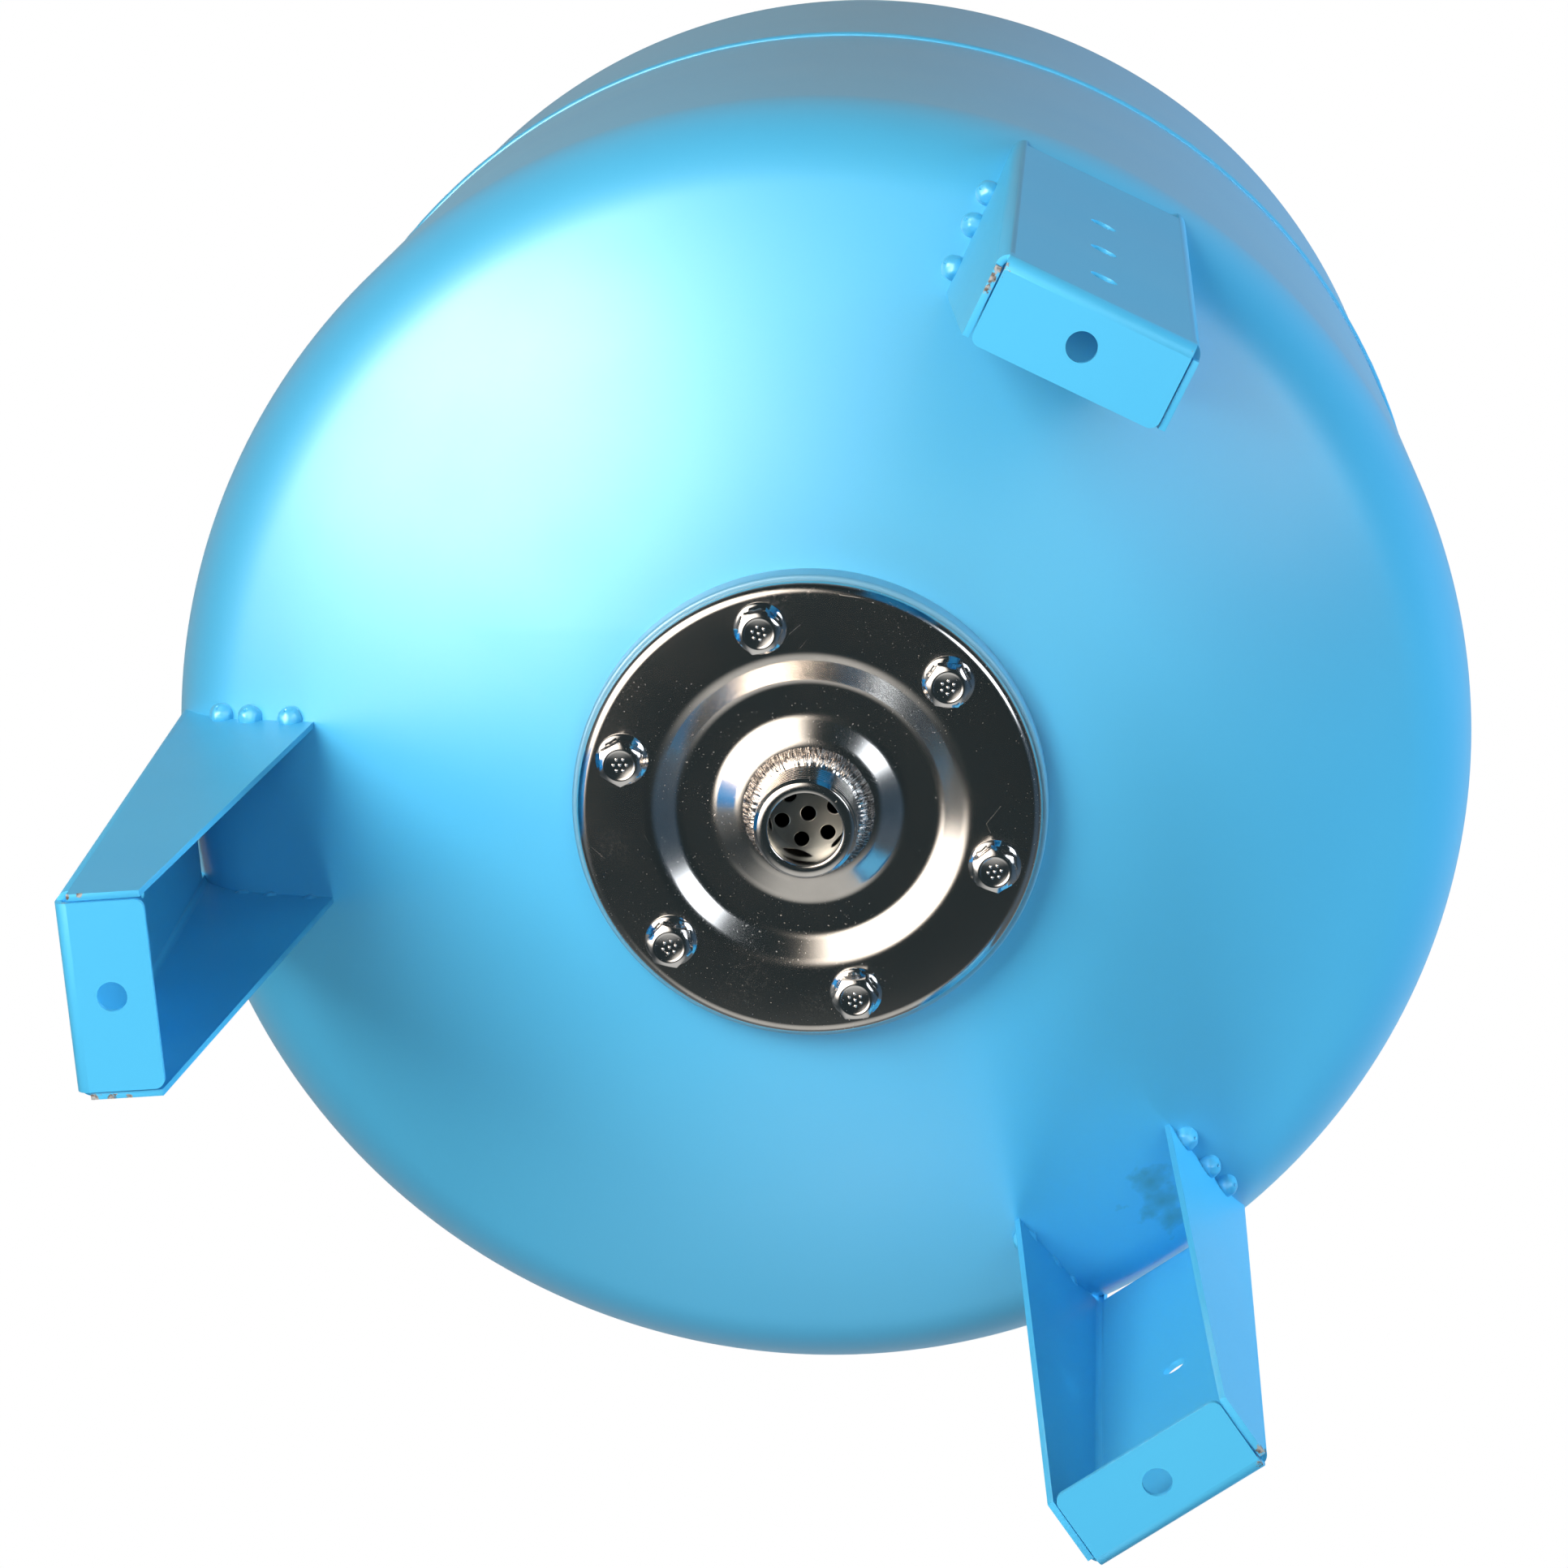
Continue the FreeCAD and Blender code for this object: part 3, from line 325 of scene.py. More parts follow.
PAINT_BLUE = (0.085, 0.50, 0.79, 1)
PAINT_DEEP = (0.075, 0.47, 0.77, 1)
# Greyer, darker blue of the mouth ring: partly thinner paint, partly painted shade under the
# counter-flange's overhang and painted reflection of its metal
PAINT_THIN_AND_SHADED = (0.13, 0.36, 0.52, 1)
SPECK = (0.01, 0.03, 0.05, 1)
STAIN_OLIVE = (0.05, 0.24, 0.28, 1)
BARE_STEEL = (0.40, 0.40, 0.39, 1)
RUST = (0.10, 0.075, 0.06, 1)


def blue_enamel(name, chips=(), stains=(), tones=(PAINT_BLUE, PAINT_DEEP), gloss=1.0):
    """Light blue enamel with a faint orange peel, specks, and perhaps chips and stains."""
    f = Finish(name, Specular_IOR_Level=gloss, Coat_Weight=gloss, Coat_Roughness=0.34)
    colour = f.blend(f.spread(f.noise(5.0, 3.0), 0.35, 0.65), *tones)
    cells = f.add("ShaderNodeTexVoronoi", {"Vector": f.place, "Scale": 22.0})
    draw = f.add("ShaderNodeSeparateColor", {"Color": cells.outputs["Color"]}).outputs["Red"]
    chosen = f.work("GREATER_THAN", draw, 0.86)
    dot = f.spread(cells.outputs["Distance"], 0.022, 0.014)
    colour = f.blend(f.work("MULTIPLY", chosen, dot), colour, SPECK)
    roughness = f.spread(f.noise(14.0, 4.0), 0.3, 0.7, 0.46, 0.54)
    if stains:
        stain = f.work("MULTIPLY", f.spots(stains, 0.6, 160.0, 0.1), 0.75)
        colour = f.blend(stain, colour, STAIN_OLIVE)
    if chips:
        chip = f.spots(chips)
        rusty = f.blend(f.spread(f.noise(700.0, 3.0), 0.42, 0.6), BARE_STEEL, RUST)
        colour = f.blend(chip, colour, rusty)
        f.into("Metallic", f.work("MULTIPLY", chip, 0.2))
        roughness = f.work("ADD", roughness, f.work("MULTIPLY", chip, 0.15))
    f.into("Base Color", colour)
    f.into("Roughness", roughness)
    f.bump((f.noise(9.0, 1.0), 0.22), (f.noise(420.0, 2.0), 0.005))
    return f.material


def bright_plate(name, tone, roughness, peel=0.002, marks=(), smudges=()):
    """Bright plated steel: mottled shine, dull specks, and perhaps scratches and smudges."""
    f = Finish(name, Metallic=1.0)
    mottle = f.noise(70.0, 5.0)
    flecks = f.spread(f.noise(1300.0, 2.0), 0.68, 0.78)
    patches = f.spread(f.noise(28.0, 2.0), 0.42, 0.56)
    worn = f.work("MULTIPLY", flecks, patches)
    for start, end, width, strength in marks:
        worn = f.most(worn, f.work("MULTIPLY", f.stroke(start, end, width), strength))
    for x, y, z, size in smudges:
        soft = f.spread(f.distance((x, y, z)), size * MM, 0.0, 0.0, 0.35)
        cloud = f.spread(f.noise(700.0, 6.0, roughness=0.7), 0.5, 0.7)
        worn = f.most(worn, f.work("MULTIPLY", soft, cloud))
    dull = tuple(x * 0.86 for x in tone) + (1,)
    f.into("Base Color", f.blend(f.spread(mottle, 0.3, 0.7), tone + (1,), dull))
    shine = f.spread(mottle, 0.3, 0.7, roughness * 0.9, roughness * 1.12)
    f.into("Roughness", f.work("ADD", shine, f.work("MULTIPLY", worn, 0.42)))
    f.bump((f.noise(1100.0, 3.0), peel), (worn, 0.006))
    return f.material


def rough_weld(name):
    """Plated weld: darker than the sheet, with fine wrinkles that run away from the pipe."""
    f = Finish(name, Metallic=1.0)
    flat = f.vector("MULTIPLY", f.place, (1, 1, 0))
    out = f.vector("LENGTH", flat, output="Value")
    spun = f.vector("SCALE", f.vector("NORMALIZE", flat), 46.0)
    rise = f.add("ShaderNodeCombineXYZ", {"Z": f.work("MULTIPLY", out, 620.0)}).outputs["Vector"]
    bristle = f.add("ShaderNodeTexNoise", {"Vector": f.vector("ADD", spun, rise), "Scale": 1.0,
                                           "Detail": 3.0}).outputs["Fac"]
    outer = f.spread(out, (PIPE_NECK_R + 1.2) * MM, (PIPE_NECK_R + 3.2) * MM)
    lumps = f.noise(500.0, 5.0)
    tone = f.work("MULTIPLY", f.spread(bristle, 0.36, 0.62), outer)
    f.into("Base Color", f.blend(tone, (0.56, 0.56, 0.55, 1), (0.09, 0.09, 0.09, 1)))
    f.into("Roughness", f.spread(lumps, 0.3, 0.7, 0.16, 0.30))
    f.bump((lumps, 0.03), (f.work("MULTIPLY", bristle, outer), 0.7))
    return f.material


def plain_metal(name, tone, roughness, lumps=600.0, depth=0.01):
    """Brass, spring steel or bare weld: mottled metal with a fine grain."""
    f = Finish(name, Metallic=1.0)
    grain = f.noise(lumps, 4.0)
    dull = tuple(x * 0.7 for x in tone) + (1,)
    f.into("Base Color", f.blend(f.spread(f.noise(90.0, 3.0), 0.3, 0.7), tone + (1,), dull))
    f.into("Roughness", f.spread(grain, 0.3, 0.7, roughness * 0.8, roughness * 1.25))
    f.bump((grain, depth))
    return f.material


def soft_stuff(name, tone, roughness, lumps, depth):
    """Rubber or moulded plastic with a fine skin."""
    f = Finish(name)
    grain = f.noise(lumps, 4.0)
    pale = tuple(x * 1.7 for x in tone) + (1,)
    f.into("Base Color", f.blend(f.spread(f.noise(50.0, 3.0), 0.3, 0.7), tone + (1,), pale))
    f.into("Roughness", f.spread(grain, 0.3, 0.7, roughness * 0.85, roughness * 1.15))
    f.bump((grain, depth))
    return f.material


def leg_point(leg, across, out, z):
    """Point of a leg in millimetres: across its width, out from the axis, and up."""
    turn = math.radians(LEG_START_DEG + LEG_SPACING_DEG * leg)
    ahead = Vector((math.cos(turn), math.sin(turn), 0))
    side = Vector((-math.sin(turn), math.cos(turn), 0))
    return ahead * out + side * across + Vector((0, 0, z))


# Bare places at the feet: leg, across its width, inwards from its web, up, and size
FOOT_CHIPS = (
    (0, -30.6, 3.6, 1.0, 2.6), (0, -30.8, 7.6, 1.0, 1.7), (0, -30.9, 11.0, 1.0, 1.2),
    (0, 30.6, 1.6, 2.0, 1.8),
    (1, -30.7, 2.2, 1.4, 2.7), (1, -31.0, 5.6, 1.2, 1.5), (1, 30.7, 2.0, 1.4, 1.8),
    (2, 30.8, 3.0, 1.1, 1.9), (2, 30.9, 8.0, 1.0, 1.1), (2, -30.8, 4.6, 1.0, 1.6),
    (2, -30.9, 10.0, 1.0, 1.3), (2, -30.9, 15.5, 1.0, 1.0),
)


def foot_chips(leg):
    """Places in the part's frame, with sizes, of one leg's bare spots."""
    return [(*leg_point(leg, across, LEG_WEB_R - inwards, z), size)
            for number, across, inwards, z, size in FOOT_CHIPS if number == leg]


# Marks on the counter-flange's flat face: scratches (from, to, width, strength) and smudges
# (x, y, size)
FACE_SCRATCHES = (
    ((-28.8, -54.6), (-30.7, -50.3), 0.14, 0.30), ((-24.8, -50.8), (-25.9, -46.8), 0.12, 0.25),
    ((54.6, -28.9), (53.0, -21.7), 0.18, 0.35), ((53.0, -21.7), (55.6, -19.5), 0.14, 0.30),
    ((46.6, -26.8), (65.1, -37.4), 0.10, 0.08), ((-58.0, 41.5), (-52.7, 43.1), 0.14, 0.25),
    ((-44.6, 30.2), (-41.0, 32.6), 0.12, 0.20), ((-21.7, -68.9), (-12.0, -71.9), 0.16, 0.40),
)
FACE_SMUDGES = ((-40.5, -60.5, 9.0), (-31.0, -66.0, 5.0), (6.0, 60.0, 12.0),
                (-52.0, 38.0, 9.0), (30.0, 58.0, 7.0))
face_scratches = [((*a, FACE_Z), (*b, FACE_Z), *rest) for a, b, *rest in FACE_SCRATCHES]
face_smudges = [(x, y, FACE_Z, size) for x, y, size in FACE_SMUDGES]


finishes = {
    "blue_paint": blue_enamel("blue_enamel"),
    "weld_steel": plain_metal("bare_weld_steel", (0.30, 0.29, 0.28), 0.45, 400.0, 0.1),
    "zinc_plate": bright_plate("bright_zinc_sheet", (0.74, 0.73, 0.71), 0.16, 0.0015,
                               face_scratches, face_smudges),
    "zinc_pipe": bright_plate("bright_zinc_pipe", (0.80, 0.80, 0.79), 0.13, 0.004),
    "zinc_weld": rough_weld("zinc_weld_wrinkles"),
    "strainer_steel": bright_plate("strainer_sheet", (0.31, 0.34, 0.34), 0.30),
    "zinc_bolt": bright_plate("bright_zinc_bolt", (0.84, 0.85, 0.86), 0.11, 0.002),
    "bladder_rubber": soft_stuff("bladder_rubber_black", (0.012, 0.012, 0.013), 0.6, 300.0, 0.05),
    "seal_rubber": soft_stuff("seal_rubber_black", (0.014, 0.014, 0.014), 0.5, 900.0, 0.01),
    "valve_brass": plain_metal("turned_brass", (0.72, 0.50, 0.20), 0.26),
    "core_brass": plain_metal("core_brass_dull", (0.62, 0.42, 0.17), 0.32),
    "spring_steel": plain_metal("spring_wire", (0.55, 0.54, 0.52), 0.25),
    "cap_plastic": soft_stuff("cap_plastic_black", (0.012, 0.013, 0.015), 0.38, 500.0, 0.02),
}


def slot_of(node):
    """The record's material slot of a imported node."""
    return next(part["material_slot"] for part in frame["record"]["subparts"]
                if part["node"] == node)


def flat_faces(bm, area):
    """Faces of the flat regions that are larger than an area."""
    seen, flat = set(), set()
    for face in bm.faces:
        region, waiting = [], [face]
        while waiting:
            here = waiting.pop()
            if here in seen:
                continue
            seen.add(here)
            region.append(here)
            for edge in here.edges:
                if edge.is_manifold and edge.calc_face_angle(0.0) < FLAT_ANGLE:
                    waiting.extend(edge.link_faces)
        if sum(part.calc_area() for part in region) > area:
            flat.update(region)
    return flat


def add_piece(bm, name, nodes, material=None, sharp=SHARP_DEG, flat_area=None):
    """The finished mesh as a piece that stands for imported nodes, with their slot and body."""
    flat = flat_faces(bm, flat_area) if flat_area else ()
    for face in bm.faces:
        face.smooth = face not in flat
    for edge in bm.edges:
        edge.smooth = edge.is_manifold and edge.calc_face_angle(0.0) < math.radians(sharp)
    bmesh.ops.scale(bm, vec=(MM, MM, MM), verts=bm.verts)
    mesh = bpy.data.meshes.new(name)
    bm.to_mesh(mesh)
    bm.free()
    slot = slot_of(nodes[0])
    mesh.materials.append(material or finishes[slot])
    piece = bpy.data.objects.new(name, mesh)
    bpy.context.scene.collection.objects.link(piece)
    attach(piece, frame["nodes"][nodes[0]]["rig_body"])
    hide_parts(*nodes)


def arc(centre, radius, start, end, steps):
    """Points of a section's arc about a centre, from one angle to another in degrees."""
    turns = [math.radians(start + (end - start) * k / steps) for k in range(steps + 1)]
    return [(centre[0] + radius * math.cos(t), centre[1] + radius * math.sin(t)) for t in turns]


def rounded(outline, steps=5):
    """Points of a closed outline of (radius, height, rounding), its corners rounded."""
    points = []
    for k, (x, z, rounding) in enumerate(outline):
        here = Vector((x, z))
        if not rounding:
            points.append((x, z))
            continue
        back = (Vector(outline[k - 1][:2]) - here).normalized()
        ahead = (Vector(outline[(k + 1) % len(outline)][:2]) - here).normalized()
        half = back.angle(ahead) / 2
        centre = here + (back + ahead).normalized() * rounding / math.sin(half)
        start = here + back * rounding / math.tan(half) - centre
        end = here + ahead * rounding / math.tan(half) - centre
        for s in range(steps + 1):
            arm = start.slerp(end, s / steps)
            points.append(tuple(centre + arm.normalized() * rounding))
    return points


def spin(points, steps, closed=True):
    """Skin turned about the tank's axis from a section's (radius, height) points."""
    bm = bmesh.new()
    verts = [bm.verts.new((r, 0, z)) for r, z in points]
    ends = verts[1:] + (verts[:1] if closed else [])
    edges = [bm.edges.new(pair) for pair in zip(verts, ends)]
    bmesh.ops.spin(bm, geom=verts + edges, cent=(0, 0, 0), axis=(0, 0, 1), dvec=(0, 0, 0),
                   angle=FULL_TURN, steps=steps, use_merge=True, use_duplicate=False)
    bmesh.ops.remove_doubles(bm, verts=bm.verts, dist=WELD_DIST)
    bmesh.ops.recalc_face_normals(bm, faces=bm.faces)
    return bm


def polar_of(vert):
    """Radius from the axis and angle about it."""
    return math.hypot(vert.co.x, vert.co.y), math.atan2(vert.co.y, vert.co.x)


def set_radius(vert, radius):
    """Moves a point to a radius from the axis, at its own height and angle."""
    now = math.hypot(vert.co.x, vert.co.y)
    vert.co.x *= radius / now
    vert.co.y *= radius / now


def merge(target, source, matrix):
    """Adds one bmesh to another, moved by a matrix, and frees it."""
    bmesh.ops.transform(source, matrix=matrix, verts=source.verts)
    carrier = bpy.data.meshes.new("carrier")
    source.to_mesh(carrier)
    source.free()
    target.from_mesh(carrier)
    bpy.data.meshes.remove(carrier)


# Steps of the dished ends' section, and of each piece round the axis
CROWN_STEPS = 40
KNUCKLE_STEPS = 22
SHELL_STEPS = 288
SEAM_STEPS = 720
PLATE_STEPS = 360
PIPE_STEPS = 180
PIPE_WELD_STEPS = 432
BOLT_STEPS = 96
BOSS_STEPS = 120
BOSS_WELD_STEPS = 240
VALVE_STEPS = 96


def head_section(inset, hole_r, upwards):
    """Crown and knuckle of a dished end, from its hole to its side."""
    sign = 1 if upwards else -1
    apex = APEX_HIGH if upwards else APEX_LOW
    side_z = SIDE_HIGH if upwards else SIDE_LOW
    start = math.degrees(math.acos(hole_r / (CROWN_R - inset)))
    crown = arc((0, apex - sign * CROWN_R), CROWN_R - inset, sign * start,
                sign * (90 - HEAD_LEAN_DEG), CROWN_STEPS)
    knuckle = arc((TANK_R - KNUCKLE_R, side_z), KNUCKLE_R - inset, sign * (90 - HEAD_LEAN_DEG), 0,
                  KNUCKLE_STEPS)
    return crown + knuckle[1:]


# A smear on the tank inside leg B: x, y, z and size
TANK_STAINS = ((162.6, 77.9, 206.7, 7.0), (169.9, 83.8, 211.0, 8.0), (175.6, 88.9, 214.6, 6.0))


def lower_tank():
    """Lower drawn shell with its neck hole, stained inside one leg."""
    outside = head_section(0, NECK_HOLE_R, False) + [(TANK_R, SEAM_Z)]
    inside = head_section(WALL, NECK_HOLE_R, False) + [(TANK_R - WALL, SEAM_Z)]
    add_piece(spin(outside + inside[::-1], SHELL_STEPS), "lower_tank_shell", ["lower_shell"],
              blue_enamel("blue_enamel_stained", stains=TANK_STAINS))


def upper_tank():
    """Upper drawn shell, with the joggled lip that goes inside the lower one."""
    outside = head_section(0, BOSS_HOLE_R, True) + [(TANK_R, SEAM_Z)]
    inside = head_section(WALL, BOSS_HOLE_R, True) + [(TANK_R - WALL, SEAM_Z + JOGGLE)]
    lip = [(TANK_R - LIP_IN, SEAM_Z), (TANK_R - LIP_IN, LIP_LOW),
           (TANK_R - LIP_IN - WALL, LIP_LOW), (TANK_R - LIP_IN - WALL, SEAM_Z + WALL)]
    add_piece(spin(outside + lip + inside[::-1], SHELL_STEPS), "upper_tank_shell",
              ["upper_shell"])


def girth_bead():
    """Weld bead round the seam, slightly uneven along its run."""
    rim = [(TANK_R - WALL / 2, SEAM_Z - BEAD_HALF), (TANK_R, SEAM_Z - BEAD_HALF)]
    for k in range(1, 8):
        t = math.pi * k / 8
        rim.append((TANK_R + BEAD_OUT * math.sin(t), SEAM_Z - BEAD_HALF * math.cos(t)))
    rim += [(TANK_R, SEAM_Z + BEAD_HALF), (TANK_R - WALL / 2, SEAM_Z + BEAD_HALF)]
    bm = spin(rim, SEAM_STEPS)
    for vert in bm.verts:
        radius, turn = polar_of(vert)
        if radius > TANK_R + WELD_DIST:
            lift = radius - TANK_R
            uneven = 0.9 - 0.1 * noise.noise(Vector((math.cos(turn), math.sin(turn), 0)) * 60)
            set_radius(vert, TANK_R + lift * min(1.0, uneven))
    add_piece(bm, "girth_weld_bead", ["girth_weld"])


def neck():
    """Painted ring round the mouth, its outer edge rounded, lying on the shell. Its blue is greyer
    and darker: partly thinner paint, partly painted shade under the counter-flange's overhang and a
    painted grey reflection of the plate's metal.
    """
    depth = high("neck_ring")
    ledge_z = APEX_LOW + crown_sag(NECK_R)
    outline = [(NECK_BORE_R, NECK_FACE_Z, 0.4), (NECK_R, NECK_FACE_Z, 1.2), (NECK_R, ledge_z, 0),
               (NECK_SPIGOT_R, APEX_LOW + crown_sag(NECK_SPIGOT_R), 0), (NECK_SPIGOT_R, depth, 0.5),
               (NECK_BORE_R, depth, 0.5)]
    add_piece(spin(rounded(outline), SHELL_STEPS), "mouth_ring", ["neck_ring"],
              blue_enamel("blue_enamel_thin_and_shaded", tones=(PAINT_THIN_AND_SHADED, PAINT_THIN_AND_SHADED)))


def counter_flange():
    """Pressed sheet with a recess, a hub and a turned edge."""
    t = PLATE_T
    floor = FACE_Z + RECESS
    rim = FACE_Z + PLATE_RIM
    hole = PIPE_NECK_R + 0.08
    hub_shift = t * math.tan(math.atan2(floor - HUB_Z, HUB_SLOPE) / 2)
    recess_shift = t * math.tan(math.atan2(RECESS, RECESS_SLOPE) / 2)
    big, small = PLATE_EDGE_R, PLATE_EDGE_R - t
    outline = [(hole, HUB_Z, 0), (HUB_TOP_R, HUB_Z, PRESS_R), (HUB_FOOT_R, floor, PRESS_R - t),
               (RECESS_FLOOR_R, floor, PRESS_R - t), (RECESS_OUTER_R, FACE_Z, PRESS_R),
               (PLATE_R, FACE_Z, big),
               (PLATE_R, rim, 0.25), (PLATE_R - t, rim, 0.25), (PLATE_R - t, FACE_Z + t, small),
               (RECESS_OUTER_R - recess_shift, FACE_Z + t, PRESS_R - t),
               (RECESS_FLOOR_R - recess_shift, floor + t, PRESS_R),
               (HUB_FOOT_R + hub_shift, floor + t, PRESS_R),
               (HUB_TOP_R + hub_shift, HUB_Z + t, PRESS_R - t), (hole, HUB_Z + t, 0)]
    add_piece(spin(rounded(outline, 9), PLATE_STEPS), "pressed_counter_flange", ["flange_plate"])


def thread_cut(z, turn, pitch, start_z):
    """Depth share of a thread at a height and an angle: 0 on the crest and 1 in the root."""
    phase = ((z - start_z) / pitch - turn / FULL_TURN) % 1.0
    return smooth_step(1 - abs(2 * phase - 1), 0.12, 0.88)


def water_pipe():
    """Threaded pipe of the water connection, with its seat for the strainer."""
    thread_end = PIPE_WELD_LOW - 0.5
    threaded = thread_end - PIPE_LOW - PIPE_CHAMFER
    count = int(threaded / PIPE_ROW)
    wall = [(PIPE_R, PIPE_LOW + PIPE_CHAMFER + threaded * k / count) for k in range(count + 1)]
    chamfer = [(PIPE_R - PIPE_CHAMFER * (1 - k / 6), PIPE_LOW + PIPE_CHAMFER * k / 6)
               for k in range(6)]
    mouth = [(PIPE_BORE_R, PIPE_LOW + 0.5), (PIPE_BORE_R + 0.15, PIPE_LOW + 0.15),
             (PIPE_BORE_R + 0.5, PIPE_LOW)]
    bore = [(PIPE_NECK_R, thread_end + 0.1), (PIPE_NECK_R, PIPE_HIGH), (DISC_SEAT_R, PIPE_HIGH),
            (DISC_SEAT_R, DISC_Z), (PIPE_BORE_R, DISC_Z)]
    bm = spin(mouth + chamfer + wall + bore, PIPE_STEPS)
    for vert in bm.verts:
        radius, turn = polar_of(vert)
        if radius > PIPE_R - PIPE_CHAMFER - WELD_DIST and vert.co.z <= thread_end + WELD_DIST:
            fade = 1 - smooth_step(vert.co.z, thread_end - 1.5 * THREAD_PITCH, thread_end)
            cut = PIPE_R - THREAD_DEPTH * fade * thread_cut(vert.co.z, turn, THREAD_PITCH, PIPE_LOW)
            set_radius(vert, min(radius, cut))
    add_piece(bm, "threaded_water_pipe", ["inlet_nipple"], sharp=50)


def pipe_weld():
    """Weld round the pipe with radial wrinkles and an uneven toe."""
    steps = 14
    rows = []
    for k in range(steps + 1):
        t = k / steps
        bulge = math.sin(math.pi * t) * WELD_SWELL * (PIPE_WELD_R - PIPE_NECK_R)
        rows.append((PIPE_WELD_R + (PIPE_NECK_R - PIPE_WELD_R) * t + bulge * 0.7,
                     PIPE_WELD_HIGH + (PIPE_WELD_LOW - PIPE_WELD_HIGH) * t - bulge * 0.7))
    bm = spin(rows + [(PIPE_NECK_R, PIPE_WELD_HIGH)], PIPE_WELD_STEPS)
    for vert in bm.verts:
        radius, turn = polar_of(vert)
        if radius < PIPE_NECK_R + WELD_DIST:
            continue
        along = Vector((math.cos(turn), math.sin(turn), 0))
        share = smooth_step(radius, PIPE_NECK_R, PIPE_NECK_R + 1.5)
        wrinkle = noise.noise(along * 26 + Vector((0, 0, radius * 0.25)))
        broad = noise.noise(along * 5 + Vector((3, 1, radius * 0.1)))
        set_radius(vert, radius + share * (0.22 * wrinkle + 0.35 * broad))
        if vert.co.z < PIPE_WELD_HIGH - WELD_DIST:
            vert.co.z -= share * (0.26 * wrinkle + 0.1 * broad)
    add_piece(bm, "wrinkled_pipe_weld", ["nipple_weld"], sharp=60)


def hexagon_radius(across_flats, turn):
    """Radius of a hexagon with a flat towards +X, at an angle."""
    side = math.radians(60)
    return across_flats / 2 / math.cos((turn + side / 2) % side - side / 2)


def hexagon_head(bm, across_flats, crown_r, crown_z, base_z):
    """Moves the rim rows of a spun head out to a hexagon, its corners chamfered at the crown."""
    fall = math.copysign(math.tan(math.radians(30)), base_z - crown_z)
    for vert in bm.verts:
        radius, turn = polar_of(vert)
        if abs(radius - across_flats / 2) > WELD_DIST:
            continue
        corner = hexagon_radius(across_flats, turn)
        edge_z = crown_z + fall * max(0.0, corner - crown_r)
        share = (vert.co.z - base_z) / (crown_z - base_z)
        set_radius(vert, corner)
        vert.co.z = base_z + share * (edge_z - base_z)


def bolt_head():
    """Flanged hexagon bolt, head down, its seat at z = 0, with small raised dots on its face."""
    top = -BOLT_HEAD_H
    flat = BOLT_AF / 2
    hex_rows = [(flat, top + (-BOLT_SEAT_T - top) * k / 3) for k in range(4)]
    outline = ([(0, top + 0.25), (BOLT_CROWN_R - 1.2, top + 0.25), (BOLT_CROWN_R - 0.75, top + 0.1),
                (BOLT_CROWN_R - 0.45, top), (BOLT_CROWN_R, top)] + hex_rows
               + [(flat + 0.35, -1.75), (BOLT_SEAT_R - 0.7, -1.0), (BOLT_SEAT_R - 0.2, -0.75),
                  (BOLT_SEAT_R, -0.5), (BOLT_SEAT_R, 0), (BOLT_R, 0), (BOLT_R, BOLT_LENGTH - 0.8),
                  (BOLT_R - 0.8, BOLT_LENGTH), (0, BOLT_LENGTH)])
    bm = spin(outline, BOLT_STEPS, closed=False)
    hexagon_head(bm, BOLT_AF, BOLT_CROWN_R, top, -BOLT_SEAT_T)
    dots = [(0.0, 0.0)] + [(DOT_RING_R, 60.0 * k) for k in range(6)]
    for ring_r, turn_deg in dots:
        dot = bmesh.new()
        bmesh.ops.create_icosphere(dot, subdivisions=2, radius=DOT_R)
        turn = math.radians(turn_deg)
        at = Matrix.Translation((ring_r * math.cos(turn), ring_r * math.sin(turn), top + 0.3))
        merge(bm, dot, at @ Matrix.Diagonal((1, 1, 0.7, 1)))
    return bm


def bolts():
    """Six flanged bolts through the counter-flange, each turned a little further."""
    bm = bmesh.new()
    for k in range(BOLT_COUNT):
        turn = math.radians(BOLT_START_DEG + 360 / BOLT_COUNT * k)
        at = Vector((BOLT_CIRCLE_R * math.cos(turn), BOLT_CIRCLE_R * math.sin(turn), FACE_Z))
        spun = Matrix.Rotation(math.radians(BOLT_TURN_DEG * k), 4, "Z")
        merge(bm, bolt_head(), Matrix.Translation(at) @ spun)
    add_piece(bm, "flange_bolt_heads", ["flange_bolts"])


def softened(name, node, width, flat_area, material=None):
    """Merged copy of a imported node, its sharp edges rounded, its faces over an area kept flat."""
    bm = bmesh.new()
    bm.from_mesh(frame["nodes"][node].data)
    bmesh.ops.scale(bm, vec=(1 / MM,) * 3, verts=bm.verts)
    bmesh.ops.remove_doubles(bm, verts=bm.verts, dist=WELD_DIST)
    bmesh.ops.dissolve_limit(bm, angle_limit=math.radians(0.3), verts=bm.verts, edges=bm.edges)
    crisp = [edge for edge in bm.edges
             if edge.is_manifold and edge.calc_face_angle(0.0) > math.radians(BEVEL_DEG)]
    bmesh.ops.bevel(bm, geom=crisp, offset=width, offset_type="OFFSET", segments=2, profile=0.5,
                    affect="EDGES", clamp_overlap=True, material=-1, loop_slide=True)
    add_piece(bm, name, [node], material, flat_area=flat_area)


def shell_height(radius):
    """Height of the lower end's outside at a radius."""
    junction = (TANK_R - KNUCKLE_R) * CROWN_R / (CROWN_R - KNUCKLE_R)
    if radius <= junction:
        return APEX_LOW + crown_sag(radius)
    return SIDE_LOW - math.sqrt(KNUCKLE_R ** 2 - (radius - TANK_R + KNUCKLE_R) ** 2)


